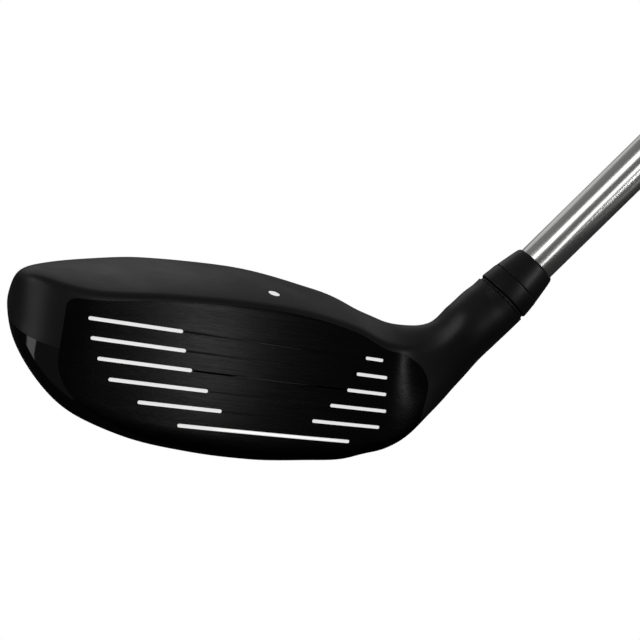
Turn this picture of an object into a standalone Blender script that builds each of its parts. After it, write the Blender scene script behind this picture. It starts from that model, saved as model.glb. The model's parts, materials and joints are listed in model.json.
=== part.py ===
"""Fairway wood with an adjustable hosel, modelled as separate solids.

The club stands in its address pose. +X runs from the toe to the heel, +Y from the
face to the back of the head, +Z up. The origin is on the shaft's axis, where the
lower hand holds the grip. Sizes below are in millimetres and angles in degrees;
every mesh is written in metres.
"""

import math

import bmesh
import bpy
from mathutils import Matrix, Vector

MM = 0.001
GAP = 0.3  # between two pieces that touch
RUN = 0.2  # between two pieces that slide or turn on one another

# The whole club
CLUB_LENGTH = 1029.0  # along the shaft, from the ground to the end of the grip
HOLD_FROM_BUTT = 110.0  # where the hands hold it
LIE = 60.1
LOFT = 22.8

# The head's outer shape. Its own frame has X = 0 at the face's centre, Z = 0 on the ground.
TOE_LENGTH = 50.7  # face centre to the toe
AXIS_FROM_CENTRE = 41.9  # face centre to the hosel's axis, at the height of the face's centre
HEEL_LENGTH = AXIS_FROM_CENTRE - 6.9  # face centre to where the head starts to turn up into the hosel
TOP_HEIGHT = 32.3  # ground to the top line, at the middle of the face
HEAD_DEPTH = 62.0  # face centre to the back
FACE_CENTRE = 0.4706 * TOP_HEIGHT  # height of the face's centre
BULGE_RADIUS = 280.0
ROLL_RADIUS = 280.0
TOP_LINE_ROUND = 1.6
LEADING_EDGE_ROUND = 4.0
TOE_ROUND = 16.2  # length over which the toe closes
TOE_POLE_BACK = 22.0
TOE_POLE_HEIGHT = 19.2
TOE_UNDER = (2.58, 2.91)  # how squarely the toe closes below its pole
TOE_OVER = (4.73, 4.61)  # and above it
CROWN_FULLNESS = 0.386

# Profiles along the head, as (place, share). Places run from -1 at the toe to 1 at the heel.
TOP_PROFILE = (
    (-1.0, 0.914), (-0.78, 0.892), (-0.4, 0.9585), (-0.04, 1.0), (0.4, 0.989), (0.69, 0.943), (1.0, 0.857)
)
SOLE_PROFILE = (
    (-1.0, 0.356), (-0.78, 0.18), (-0.52, 0.06), (-0.24, 0.013), (0.06, 0.0), (0.46, 0.019),
    (0.71, 0.035), (1.0, 0.096),
)
BACK_PROFILE = (
    (-1.0, 0.484), (-0.8, 0.71), (-0.5, 0.92), (-0.1, 1.0), (0.43, 0.968), (0.8, 0.84), (1.0, 0.71)
)
BACK_HEIGHT_PROFILE = ((-1.0, 0.575), (-0.5, 0.447), (0.0, 0.415), (0.57, 0.447), (1.0, 0.543))
CROWN_RISE = ((-1.0, 5.1), (-0.5, 3.8), (0.0, 5.0), (0.57, 6.0), (1.0, 12.2))  # degrees
NECK_INSIDE = ((0.0, 0.0), (0.12, 0.0), (0.3, 0.27), (0.6, 0.9), (0.85, 1.03), (1.0, 1.0))
NECK_BACK = ((0.0, 0.0), (0.15, 0.496), (0.35, 0.915), (0.6, 1.005), (0.85, 0.995), (1.0, 1.0))
NECK_FRONT = ((0.0, 0.0), (0.15, 0.284), (0.35, 0.778), (0.6, 0.912), (0.85, 0.945), (1.0, 1.0))
NECK_ROUNDING = ((0.0, 0.0), (0.15, 0.13), (0.35, 0.606), (0.6, 0.96), (0.85, 1.0), (1.0, 1.0))
NECK_OUTSIDE = (
    (0.0, 0.0), (0.14, 0.179), (0.22, 0.3345), (0.32, 0.484), (0.42, 0.654), (0.52, 0.775),
    (0.63, 0.885), (0.76, 0.956), (1.0, 1.0),
)

# Shaft and sleeve, which set the hosel's bore
SHAFT_TIP_RADIUS = 4.7
SLEEVE_WALL = 0.4
SLEEVE_RADIUS = SHAFT_TIP_RADIUS + RUN + SLEEVE_WALL
BORE_RADIUS = SLEEVE_RADIUS + GAP
SPLINES = 12
SPLINE_ROOT = BORE_RADIUS + 0.1
SPLINE_TIP = SPLINE_ROOT + 0.5
SPLINE_LENGTH = 5.5

# The hosel
HOSEL_WALL = 0.6  # outside the splines
HOSEL_RADIUS = SPLINE_TIP + RUN + HOSEL_WALL
AXIS_BACK = 8.0  # face centre back to the hosel's axis
HOSEL_STRAIGHT = 1.5  # straight length above the bend
HOSEL_TOP = 50.5  # ground to the hosel's rim, along the axis
BORE_DEPTH = 29.0
SHELF_THICKNESS = 2.5

# Walls of the head
WALL = 2.0
FACE_THICKNESS = 2.3
CROWN_THICKNESS = 1.2
SOLE_THICKNESS = 1.6

# The face plate and its grooves
PLATE_TOE = 9.3 - TOE_LENGTH
PLATE_HEEL = HEEL_LENGTH + 2.6
PLATE_TOP_MARGIN = 0.6  # below the top line
# Above the leading edge, along the head
PLATE_EDGE_MARGIN = ((-1.0, 5.6), (-0.72, 5.0), (-0.5, 3.2), (-0.2, 2.4), (1.0, 2.4))
PLATE_TOP_CORNER = 2.0
PLATE_EDGE_CORNER = 6.0
PLATE_HEEL_CORNER = 7.5
PLATE_RIM = 0.5  # the plate's edge is this much deeper than its wall
GROOVE_PITCH = 0.12074 * TOP_HEIGHT
GROOVE_WIDTH = 0.85
GROOVE_DEPTH = 0.4
GROOVE_DROP = 0.2452 * TOP_HEIGHT  # of the first groove below the top line
# Each groove's ends, in from the plate's toe and heel
GROOVE_ENDS = ((4.4, 5.7), (5.4, 3.9), (7.3, 3.5), (10.1, 2.8), (16.6, 4.1), (25.6, 11.9))

# The adapter sleeve and its screw, as places along the hosel's axis
RING_THICKNESS = 0.5
FLANGE_LENGTH = 4.4
SLEEVE_DEPTH = 26.5  # below the hosel's rim
THREAD_DEPTH = 11.0
SLEEVE_WEB = 2.5
SLEEVE_TOP_RADIUS = HOSEL_RADIUS - 0.55
FERRULE_LENGTH = 6.3
FERRULE_TOP_RADIUS = SHAFT_TIP_RADIUS + 0.65
SCREW_RADIUS = 2.4
SCREW_HEAD_RADIUS = 4.3
SCREW_HEAD_LENGTH = 4.0
SCREW_ENGAGED = 9.5
WASHER_THICKNESS = 0.7
PORT_RADIUS = SCREW_HEAD_RADIUS + 0.7
CLIP_THICKNESS = 0.6

# The rear weight
WEIGHT_X = 2.0
WEIGHT_Y = HEAD_DEPTH - 23.0
WEIGHT_RADIUS = 7.0
WEIGHT_LENGTH = 5.0
WEIGHT_TILT = -9.0  # of the port, to follow the sole
PORT_WALL = 1.2
PORT_FLOOR = 1.4
BOSS_LENGTH = 5.0
WEIGHT_SCREW_RADIUS = 2.4
WEIGHT_SCREW_HEAD = 3.6

# Shaft and grip
SHAFT_BUTT_RADIUS = 7.62
SHAFT_WALL = 0.6
TIP_PARALLEL = 150.0
TIP_PLUG_LENGTH = 12.0
GRIP_LENGTH = 268.0
TAPE_THICKNESS = 0.25
GRIP_CLEAR = RUN + TAPE_THICKNESS + RUN  # shaft to grip, round the tape
GRIP_MOUTH_WALL = 1.33
GRIP_BUTT_RADIUS = SHAFT_BUTT_RADIUS + GRIP_CLEAR + 4.93
GRIP_CAP_LENGTH = 4.0
GRIP_VENT_RADIUS = 1.8

SECTION_POINTS = {"face": 8, "top": 3, "crown": 12, "sole": 12, "edge": 4}
TOE_STATIONS = 9
BODY_STATIONS = 14
NECK_STATIONS = 11

lie = math.radians(LIE)
loft = math.radians(LOFT)
axis_dir = Vector((math.cos(lie), 0.0, math.sin(lie)))
axis_ground_x = AXIS_FROM_CENTRE - FACE_CENTRE / math.tan(lie)
neck_top = HOSEL_TOP - HOSEL_STRAIGHT
# The inner bend between crown and hosel, which starts where the head ends
crotch_radius = (axis_ground_x + neck_top * math.cos(lie) - HEEL_LENGTH) / math.sin(lie) - HOSEL_RADIUS


# ---------------------------------------------------------------- scene helpers


def clear_scene():
    for obj in list(bpy.data.objects):
        bpy.data.objects.remove(obj, do_unlink=True)


def material(name, colour, roughness, metallic):
    mat = bpy.data.materials.new(name)
    mat.use_nodes = True
    shader = mat.node_tree.nodes["Principled BSDF"]
    shader.inputs["Base Color"].default_value = (*colour, 1.0)
    shader.inputs["Roughness"].default_value = roughness
    shader.inputs["Metallic"].default_value = metallic
    mat.diffuse_color = (*colour, 1.0)
    return mat


def empty(name, matrix, parent=None):
    obj = bpy.data.objects.new(name, None)
    bpy.context.scene.collection.objects.link(obj)
    obj.parent = parent
    obj.matrix_local = matrix
    return obj


def add_object(name, bm, parent, mat=None, smooth=True):
    """Closes the bmesh into an object in the parent's frame."""
    bmesh.ops.recalc_face_normals(bm, faces=bm.faces)
    mesh = bpy.data.meshes.new(name)
    bm.to_mesh(mesh)
    bm.free()
    obj = bpy.data.objects.new(name, mesh)
    bpy.context.scene.collection.objects.link(obj)
    obj.parent = parent
    if mat:
        mesh.materials.append(mat)
    if smooth:
        mesh.shade_smooth()
        mesh.set_sharp_from_angle(angle=math.radians(35))
    return obj


def boolean(target, cutter, operation="DIFFERENCE"):
    cutter.hide_render = True
    cutter.display_type = "WIRE"
    modifier = target.modifiers.new(operation.title() + "_" + cutter.name, "BOOLEAN")
    modifier.operation = operation
    modifier.object = cutter
    modifier.solver = "EXACT"
    return modifier


def bridge_rings(bm, rings, closed=False):
    """Joins rings of equal length with quads. A ring of one vertex is a pole."""
    pairs = list(zip(rings, rings[1:]))
    if closed:
        pairs.append((rings[-1], rings[0]))
    for low, high in pairs:
        count = max(len(low), len(high))
        for i in range(count):
            j = (i + 1) % count
            corners = []
            for vert in (low[i % len(low)], low[j % len(low)], high[j % len(high)], high[i % len(high)]):
                if vert not in corners:
                    corners.append(vert)
            if len(corners) > 2:
                bm.faces.new(corners)


def turned(name, profile, parent, mat=None, segments=32, closed=False):
    """A solid turned about the parent's Z. The profile is a list of (z, radius).

    A radius may be a function of the angle. A radius of 0 is a pole. With closed, the
    profile's end joins its start, as on a tube.
    """
    bm = bmesh.new()
    rings = []
    for z, radius in profile:
        if radius == 0:
            rings.append([bm.verts.new((0.0, 0.0, z * MM))])
            continue
        ring = []
        for i in range(segments):
            angle = 2 * math.pi * i / segments
            r = radius(i) if callable(radius) else radius
            ring.append(bm.verts.new((r * MM * math.cos(angle), r * MM * math.sin(angle), z * MM)))
        rings.append(ring)
    bridge_rings(bm, rings, closed)
    return add_object(name, bm, parent, mat)


def prism(name, outline, low, high, parent):
    """A straight prism over a closed outline of (x, y) points, from z = low to z = high."""
    bm = bmesh.new()
    bottom = [bm.verts.new((x * MM, y * MM, low * MM)) for x, y in outline]
    top = [bm.verts.new((x * MM, y * MM, high * MM)) for x, y in outline]
    bridge_rings(bm, [bottom, top])
    bm.faces.new(bottom)
    bm.faces.new(top)
    return add_object(name, bm, parent, smooth=False)


# ---------------------------------------------------------------- the head's outer shape


def mix(a, b, t):
    return a + (b - a) * t


def ease(t):
    t = min(max(t, 0.0), 1.0)
    return t * t * (3 - 2 * t)


def along(profile, place):
    """Smooth curve through the profile's (place, value) pairs."""
    places = [pair[0] for pair in profile]
    values = [pair[1] for pair in profile]
    last = len(profile) - 1
    if place <= places[0]:
        return values[0]
    if place >= places[last]:
        return values[last]
    i = max(j for j in range(last) if places[j] <= place)

    def slope(j):
        if j == last:
            return 0.0
        ahead = (values[j + 1] - values[j]) / (places[j + 1] - places[j])
        if j == 0:
            return ahead
        behind = (values[j] - values[j - 1]) / (places[j] - places[j - 1])
        near, far = places[j] - places[j - 1], places[j + 1] - places[j]
        return (behind * far + ahead * near) / (near + far)

    step = places[i + 1] - places[i]
    t = (place - places[i]) / step
    return (
        (2 * t**3 - 3 * t**2 + 1) * values[i]
        + (t**3 - 2 * t**2 + t) * slope(i) * step
        + (3 * t**2 - 2 * t**3) * values[i + 1]
        + (t**3 - t**2) * slope(i + 1) * step
    )


def place_of(x):
    return x / TOE_LENGTH if x < 0 else x / HEEL_LENGTH


def face_y(x, z):
    """How far back the face is at this x and height, with its loft, bulge and roll."""
    up = (z - FACE_CENTRE) / math.cos(loft)
    sag = x * x / (2 * BULGE_RADIUS) + up * up / (2 * ROLL_RADIUS)
    return up * math.sin(loft) + sag * math.cos(loft)


def bezier(points, t):
    """Point at t on a Bezier curve, by repeated mixing."""
    points = [Vector(p) for p in points]
    while len(points) > 1:
        points = [a.lerp(b, t) for a, b in zip(points, points[1:])]
    return points[0]


def body_section(x, inset=0.0):
    """Closed section of the head at x, as (point, angle) pairs.

    The points are (y, z), from the leading edge up the face, back over the crown and
    forward along the sole. The angle is where the point goes on the hosel's circle.
    """
    place = place_of(x)
    top = along(TOP_PROFILE, place) * TOP_HEIGHT - inset
    sole = along(SOLE_PROFILE, place) * TOP_HEIGHT + inset
    back = along(BACK_PROFILE, place) * HEAD_DEPTH - inset
    back_z = along(BACK_HEIGHT_PROFILE, place) * TOP_HEIGHT
    rise = math.radians(along(CROWN_RISE, place))
    front = inset / math.cos(loft)
    corner = Vector((face_y(x, top) + front, top))
    edge = Vector((face_y(x, sole + 0.3) + front, sole + 0.3))
    up_face = (corner - edge).normalized()
    crown_dir = Vector((math.cos(rise), math.sin(rise)))
    sole_dir = Vector((math.cos(0.05), -math.sin(0.05)))
    crown_start = corner + TOP_LINE_ROUND * crown_dir
    sole_start = edge + LEADING_EDGE_ROUND * sole_dir
    rear = Vector((back, back_z))
    counts = SECTION_POINTS
    points = []
    low = edge.y + LEADING_EDGE_ROUND * up_face.y
    high = corner.y - TOP_LINE_ROUND * up_face.y
    for i in range(counts["face"]):
        t = i / (counts["face"] - 1)
        z = mix(low, high, t)
        points.append((Vector((face_y(x, z) + front, z)), mix(225, 150, t)))
    face_top = points[-1][0]
    for i in range(1, counts["top"] + 1):
        t = i / counts["top"]
        points.append((bezier((face_top, corner, crown_start), t), mix(150, 135, t)))
    span = back - crown_start.x
    crown = (
        crown_start,
        crown_start + crown_dir * span * 0.5,
        rear + Vector((0, (top - back_z) * CROWN_FULLNESS)),
        rear,
    )
    for i in range(1, counts["crown"] + 1):
        t = i / counts["crown"]
        points.append((bezier(crown, t), mix(135, 0, t)))
    under = (
        rear,
        rear - Vector((0, (back_z - sole) * 0.85)),
        sole_start + sole_dir * span * 0.55,
        sole_start,
    )
    for i in range(1, counts["sole"] + 1):
        t = i / counts["sole"]
        points.append((bezier(under, t), mix(0, -120, t)))
    face_bottom = edge + LEADING_EDGE_ROUND * up_face
    for i in range(1, counts["edge"]):
        t = i / counts["edge"]
        points.append((bezier((sole_start, edge, face_bottom), t), mix(-120, -135, t)))
    return points


def toe_section(x, inset=0.0):
    """Section of the head near the toe, drawn in towards the toe's pole."""
    reach = min(1.0, max(0.0, (TOE_ROUND - TOE_LENGTH - x) / (TOE_ROUND - inset)))
    low = max(0.0, 1 - reach ** TOE_UNDER[0]) ** (1 / TOE_UNDER[1])
    high = max(0.0, 1 - reach ** TOE_OVER[0]) ** (1 / TOE_OVER[1])
    ring = []
    for point, _ in body_section(x, inset):
        y = point.x - TOE_POLE_BACK
        z = point.y - TOE_POLE_HEIGHT
        ring.append(Vector((x, TOE_POLE_BACK + low * y, TOE_POLE_HEIGHT + (high if z > 0 else low) * z)))
    return ring


pivot = (
    Vector((axis_ground_x, 0.0, 0.0))
    + neck_top * axis_dir
    - (HOSEL_RADIUS + crotch_radius) * Vector((math.sin(lie), 0.0, -math.cos(lie)))
)


def neck_section(turn, inset=0.0):
    """Section of the neck. It swings about the pivot as turn goes from 0 to 1 and closes to a circle."""
    points = body_section(HEEL_LENGTH, inset)
    reach = [pivot.z - point.y for point, _ in points]
    width = [point.x for point, _ in points]
    radius = HOSEL_RADIUS - inset
    near = mix(min(reach), crotch_radius + inset, along(NECK_INSIDE, turn))
    far = mix(max(reach), crotch_radius + 2 * HOSEL_RADIUS - inset, along(NECK_OUTSIDE, turn))
    front = mix(min(width), AXIS_BACK - radius, along(NECK_FRONT, turn))
    rounding = along(NECK_ROUNDING, turn)
    rear = mix(max(width), AXIS_BACK + radius, along(NECK_BACK, turn))
    down = Vector((math.sin(turn * lie), 0.0, -math.cos(turn * lie)))
    depth = max(width) - min(width)
    squeeze = depth / (rear - front) - 1
    ring = []
    for (_, degrees), q, y in zip(points, reach, width):
        q = mix(near, far, (q - min(reach)) / (max(reach) - min(reach)))
        # The section narrows from the back, so that the face runs on in its own plane.
        share = (y - min(width)) / depth
        y = front + depth * share / (1 + squeeze * share)
        angle = math.radians(degrees)
        round_q = (near + far) / 2 - (far - near) / 2 * math.sin(angle)
        round_y = (front + rear) / 2 + (rear - front) / 2 * math.cos(angle)
        q = mix(q, round_q, rounding)
        y = mix(y, round_y, rounding)
        point = pivot + q * down
        ring.append(Vector((point.x, y, point.z)))
    return ring


def head_solid(name, inset, last_turn, parent, mat=None, straight=0.0):
    """The head's outer shape, drawn in by the inset, as one closed solid."""
    toe = -TOE_LENGTH + inset
    rings = []
    for i in range(TOE_STATIONS):
        t = math.sin(0.5 * math.pi * (i + 0.35) / TOE_STATIONS)
        x = mix(toe, TOE_ROUND - TOE_LENGTH, 1 - math.sqrt(1 - t * t) if i else 0.004)
        rings.append(toe_section(x, inset))
    start = TOE_ROUND - TOE_LENGTH
    for i in range(BODY_STATIONS):
        x = mix(start, HEEL_LENGTH, i / (BODY_STATIONS - 1))
        rings.append([Vector((x, p.x, p.y)) for p, _ in body_section(x, inset)])
    turns = max(2, round(NECK_STATIONS * last_turn))
    for i in range(1, turns + 1):
        rings.append(neck_section(last_turn * i / turns, inset))
    if straight:
        rings.append([p + straight * axis_dir for p in rings[-1]])
    bm = bmesh.new()
    made = [[bm.verts.new(p * MM) for p in ring] for ring in rings]
    bridge_rings(bm, made)
    bm.faces.new(made[0])
    bm.faces.new(made[-1])
    bmesh.ops.triangulate(bm, faces=[f for f in bm.faces if len(f.verts) > 4])
    return add_object(name, bm, parent, mat)


# ---------------------------------------------------------------- plates let into the head


def face_outline(x, grow=0.0):
    """Lower and upper edge of the face plate at x, up the face, grown on all sides."""
    place = place_of(x)
    top = (along(TOP_PROFILE, place) * TOP_HEIGHT - FACE_CENTRE) / math.cos(loft)
    sole = (along(SOLE_PROFILE, place) * TOP_HEIGHT - FACE_CENTRE) / math.cos(loft)
    top += grow - PLATE_TOP_MARGIN
    sole += along(PLATE_EDGE_MARGIN, place) - grow
    from_toe = x - PLATE_TOE + grow
    from_heel = PLATE_HEEL + grow - x
    top -= corner_drop(from_toe, PLATE_TOP_CORNER) + corner_drop(from_heel, PLATE_HEEL_CORNER)
    sole += corner_drop(from_toe, PLATE_EDGE_CORNER) + corner_drop(from_heel, PLATE_HEEL_CORNER)
    return sole, top


def corner_drop(end, corner):
    """How far a rounded corner has drawn the edge in, this far from its end."""
    if end >= corner:
        return 0.0
    return corner - math.sqrt(max(0.0, corner**2 - (corner - end) ** 2))


def face_blank(name, depth, face_frame, grow=0.0):
    """The face plate's outline as a block whose floor follows the bulge, this deep behind the face."""
    bm = bmesh.new()
    rings = []
    steps = 28
    for i in range(steps + 1):
        # The stations crowd towards both ends, where the outline turns.
        x = mix(PLATE_TOE - grow, PLATE_HEEL + grow, 0.5 - 0.5 * math.cos(math.pi * i / steps))
        ring = []
        sole, top = face_outline(x, grow)
        for up in (sole, top):
            sag = x * x / (2 * BULGE_RADIUS) + up * up / (2 * ROLL_RADIUS)
            ring.append((x, up, -sag - depth))
        ring += [(x, top, 11.0), (x, sole, 11.0)]
        rings.append([bm.verts.new(Vector(p) * MM) for p in ring])
    bridge_rings(bm, rings)
    bm.faces.new(rings[0])
    bm.faces.new(rings[-1])
    return add_object(name, bm, face_frame, smooth=False)


def planform(front, back, toe, heel, corner, grow=0.0):
    """Rounded outline in (x, y) that keeps a margin inside the head's back edge."""
    steps = 20
    near = []
    far = []
    for i in range(steps + 1):
        x = mix(toe - grow, heel + grow, 0.5 - 0.5 * math.cos(math.pi * i / steps))
        y_front = front - grow
        y_back = along(BACK_PROFILE, place_of(x)) * HEAD_DEPTH - back + grow
        for end in (x - toe + grow, heel + grow - x):
            if end < corner:
                drop = corner - math.sqrt(corner**2 - (corner - end) ** 2)
                y_front += drop
                y_back -= drop
        near.append((x, y_front))
        far.append((x, y_back))
    return near + far[::-1]


def build_head(head, mats):
    """The cast body, the plates let into it and the hollow between them."""
    face_frame = empty(
        "face_frame",
        Matrix.Translation((0, 0, FACE_CENTRE * MM)) @ Matrix.Rotation(math.radians(90 - LOFT), 4, "X"),
        head,
    )
    hosel_frame = empty(
        "hosel_frame",
        Matrix.Translation((axis_ground_x * MM, AXIS_BACK * MM, 0))
        @ Matrix.Rotation(math.pi / 2 - lie, 4, "Y"),
        head,
    )
    outer = {"inset": 0.0, "last_turn": 1.0, "straight": HOSEL_STRAIGHT}
    crown_shape = (14.0, 9.0, 12.7 - TOE_LENGTH, HEEL_LENGTH - 10.0, 9.0)
    sole_shape = (14.0, 9.0, 16.7 - TOE_LENGTH, HEEL_LENGTH - 13.0, 9.0)
    crown_low = 0.62 * TOP_HEIGHT

    hollow = head_solid("hollow", WALL, 0.5, head)
    core = turned("hosel_core", [(-20, 0), (-20, 7.4), (60, 7.4), (60, 0)], hosel_frame, segments=32)
    boolean(hollow, core)

    body = head_solid("head_body", parent=head, mat=mats["body"], **outer)
    boolean(body, hollow)
    rim = FACE_THICKNESS + PLATE_RIM
    boolean(body, face_blank("face_pocket", rim + GAP, face_frame, GAP))
    boolean(body, prism("crown_pocket", planform(*crown_shape, grow=GAP), crown_low, 60, head))
    boolean(body, prism("sole_pocket", planform(*sole_shape, grow=GAP), -20, 12, head))
    boolean(body, hosel_bore(hosel_frame))

    face = head_solid("face_plate", parent=head, mat=mats["face"], **outer)
    boolean(face, face_blank("face_blank", rim, face_frame), "INTERSECT")
    boolean(face, head_solid("face_back", FACE_THICKNESS, 0.5, head))
    boolean(face, grooves(face_frame))

    crown = head_solid("crown_plate", parent=head, mat=mats["crown"], **outer)
    boolean(crown, prism("crown_blank", planform(*crown_shape), crown_low, 60, head), "INTERSECT")
    boolean(crown, head_solid("crown_under", CROWN_THICKNESS, 0.5, head))

    sole = head_solid("sole_plate", parent=head, mat=mats["sole"], **outer)
    boolean(sole, prism("sole_blank", planform(*sole_shape), -20, 12, head), "INTERSECT")
    boolean(sole, head_solid("sole_over", SOLE_THICKNESS, 0.5, head))
    return hosel_frame, sole


def grooves(face_frame):
    """Cutter for the scoring lines, which follow the bulge of the face."""
    bm = bmesh.new()
    top_line = (TOP_HEIGHT - FACE_CENTRE) / math.cos(loft)
    for row, (from_toe, from_heel) in enumerate(GROOVE_ENDS):
        toe = PLATE_TOE + from_toe
        heel = PLATE_HEEL - from_heel
        up = top_line - GROOVE_DROP - row * GROOVE_PITCH
        steps = max(4, round((heel - toe) / 5))
        rings = []
        for i in range(steps + 1):
            x = mix(toe, heel, i / steps)
            sag = x * x / (2 * BULGE_RADIUS) + up * up / (2 * ROLL_RADIUS)
            ring = []
            for side, depth in ((-1, -1.0), (1, -1.0), (1, GROOVE_DEPTH), (-1, GROOVE_DEPTH)):
                ring.append(
                    bm.verts.new((x * MM, (up + side * GROOVE_WIDTH / 2) * MM, -(sag + depth) * MM))
                )
            rings.append(ring)
        bridge_rings(bm, rings)
        bm.faces.new(rings[0])
        bm.faces.new(rings[-1])
    return add_object("groove_cutter", bm, face_frame, smooth=False)


# ---------------------------------------------------------------- hosel, sleeve and screw


def splined(root, tip, segments=4 * SPLINES):
    """Radius of a splined ring by segment: two segments on each tip, two in each gap."""
    return lambda i: tip if i % (segments // SPLINES) < (segments // SPLINES) // 2 else root


def hosel_bore(hosel_frame):
    """Cutter for the screw port, the shelf's hole, the bore and its splined mouth."""
    floor = HOSEL_TOP - BORE_DEPTH
    shelf = floor - SHELF_THICKNESS
    mouth = HOSEL_TOP - 1.0 - SPLINE_LENGTH - GAP
    notch = splined(SPLINE_ROOT + RUN, SPLINE_TIP + RUN)
    profile = [
        (-20, 0),
        (-20, PORT_RADIUS),
        (shelf, PORT_RADIUS),
        (shelf, SCREW_RADIUS + GAP),
        (floor, SCREW_RADIUS + GAP),
        (floor, BORE_RADIUS),
        (mouth, BORE_RADIUS),
        (mouth, notch),
        (HOSEL_TOP + 5, notch),
        (HOSEL_TOP + 5, 0),
    ]
    return turned("bore_cutter", profile, hosel_frame, segments=4 * SPLINES)


def build_adapter(hosel_axis, mats):
    """Sleeve, spacer ring and ferrule, along the hosel's axis from the ground."""
    ring_low = HOSEL_TOP + RUN
    flange = ring_low + RING_THICKNESS + RUN
    sleeve_low = HOSEL_TOP - SLEEVE_DEPTH
    sleeve_top = flange + FLANGE_LENGTH
    spline_top = HOSEL_TOP - 1.0
    neck = SPLINE_ROOT - 0.1
    thread_end = sleeve_low + THREAD_DEPTH
    shaft_floor = thread_end + SLEEVE_WEB
    teeth = splined(SPLINE_ROOT, SPLINE_TIP)
    sleeve = [
        (thread_end, 0),
        (thread_end, SCREW_RADIUS + RUN),
        (sleeve_low, SCREW_RADIUS + RUN),
        (sleeve_low, SLEEVE_RADIUS - 0.5),
        (sleeve_low + 0.6, SLEEVE_RADIUS),
        (spline_top - SPLINE_LENGTH, SLEEVE_RADIUS),
        (spline_top - SPLINE_LENGTH, teeth),
        (spline_top, teeth),
        (spline_top, neck),
        (flange, neck),
        (flange, HOSEL_RADIUS - 0.2),
        (flange + 0.2, HOSEL_RADIUS),
        (sleeve_top - 0.5, HOSEL_RADIUS),
        (sleeve_top, SLEEVE_TOP_RADIUS + 0.1),
        (sleeve_top, SHAFT_TIP_RADIUS + RUN),
        (shaft_floor, SHAFT_TIP_RADIUS + RUN),
        (shaft_floor, 0),
    ]
    turned("hosel_sleeve", sleeve, hosel_axis, mats["sleeve"], segments=4 * SPLINES)
    ring_in = neck + GAP
    ring_out = HOSEL_RADIUS - 0.4
    ring = [
        (ring_low, ring_in),
        (ring_low, ring_out),
        (ring_low + RING_THICKNESS, ring_out),
        (ring_low + RING_THICKNESS, ring_in),
    ]
    turned("spacer_ring", ring, hosel_axis, mats["ring"], segments=4 * SPLINES, closed=True)
    ferrule_low = sleeve_top + RUN
    ferrule_in = SHAFT_TIP_RADIUS + RUN
    ferrule = [
        (ferrule_low, ferrule_in),
        (ferrule_low, SLEEVE_TOP_RADIUS - 0.15),
        (ferrule_low + 0.25, SLEEVE_TOP_RADIUS),
        (ferrule_low + FERRULE_LENGTH * 0.5, mix(SLEEVE_TOP_RADIUS, FERRULE_TOP_RADIUS, 0.45)),
        (ferrule_low + FERRULE_LENGTH - 0.3, FERRULE_TOP_RADIUS + 0.03),
        (ferrule_low + FERRULE_LENGTH, FERRULE_TOP_RADIUS - 0.15),
        (ferrule_low + FERRULE_LENGTH, ferrule_in),
    ]
    turned("ferrule", ferrule, hosel_axis, mats["ferrule"], segments=4 * SPLINES, closed=True)
    return shaft_floor


def lobed(radius, lobes, depth, segments):
    """Radius of a star-shaped socket by segment."""
    return lambda i: radius - depth * (0.5 - 0.5 * math.cos(2 * math.pi * lobes * i / segments))


def build_hosel_screw(hosel_axis, mats):
    """The captive screw, its washer and its retaining clip."""
    floor = HOSEL_TOP - BORE_DEPTH
    shelf = floor - SHELF_THICKNESS
    sleeve_low = HOSEL_TOP - SLEEVE_DEPTH
    washer_top = shelf - RUN
    washer_low = washer_top - WASHER_THICKNESS
    head_top = washer_low - RUN
    head_low = head_top - SCREW_HEAD_LENGTH
    socket = lobed(2.3, 6, 0.55, 24)
    clip_low = floor + RUN
    clip_top = clip_low + CLIP_THICKNESS
    groove = SCREW_RADIUS - 0.5
    screw = [
        (head_low + 2.4, 0),
        (head_low + 2.2, socket),
        (head_low, socket),
        (head_low, SCREW_HEAD_RADIUS - 0.3),
        (head_low + 0.3, SCREW_HEAD_RADIUS),
        (head_top, SCREW_HEAD_RADIUS),
        (head_top, SCREW_RADIUS),
        (clip_low - 0.1, SCREW_RADIUS),
        (clip_low - 0.1, groove),
        (clip_top + 0.1, groove),
        (clip_top + 0.1, SCREW_RADIUS),
        (sleeve_low + SCREW_ENGAGED, SCREW_RADIUS),
        (sleeve_low + SCREW_ENGAGED + 0.6, SCREW_RADIUS - 0.6),
        (sleeve_low + SCREW_ENGAGED + 0.6, 0),
    ]
    turned("hosel_screw", screw, hosel_axis, mats["screw"], segments=24)
    inner = SCREW_RADIUS + GAP
    washer = [
        (washer_low, inner),
        (washer_low, SCREW_HEAD_RADIUS),
        (washer_top, SCREW_HEAD_RADIUS),
        (washer_top, inner),
    ]
    turned("screw_washer", washer, hosel_axis, mats["washer"], segments=24, closed=True)
    clip_in = groove + RUN
    clip_out = SCREW_RADIUS + 1.2
    clip = [(clip_low, clip_in), (clip_low, clip_out), (clip_top, clip_out), (clip_top, clip_in)]
    turned("screw_clip", clip, hosel_axis, mats["clip"], segments=24, closed=True)


# ---------------------------------------------------------------- rear weight


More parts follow.
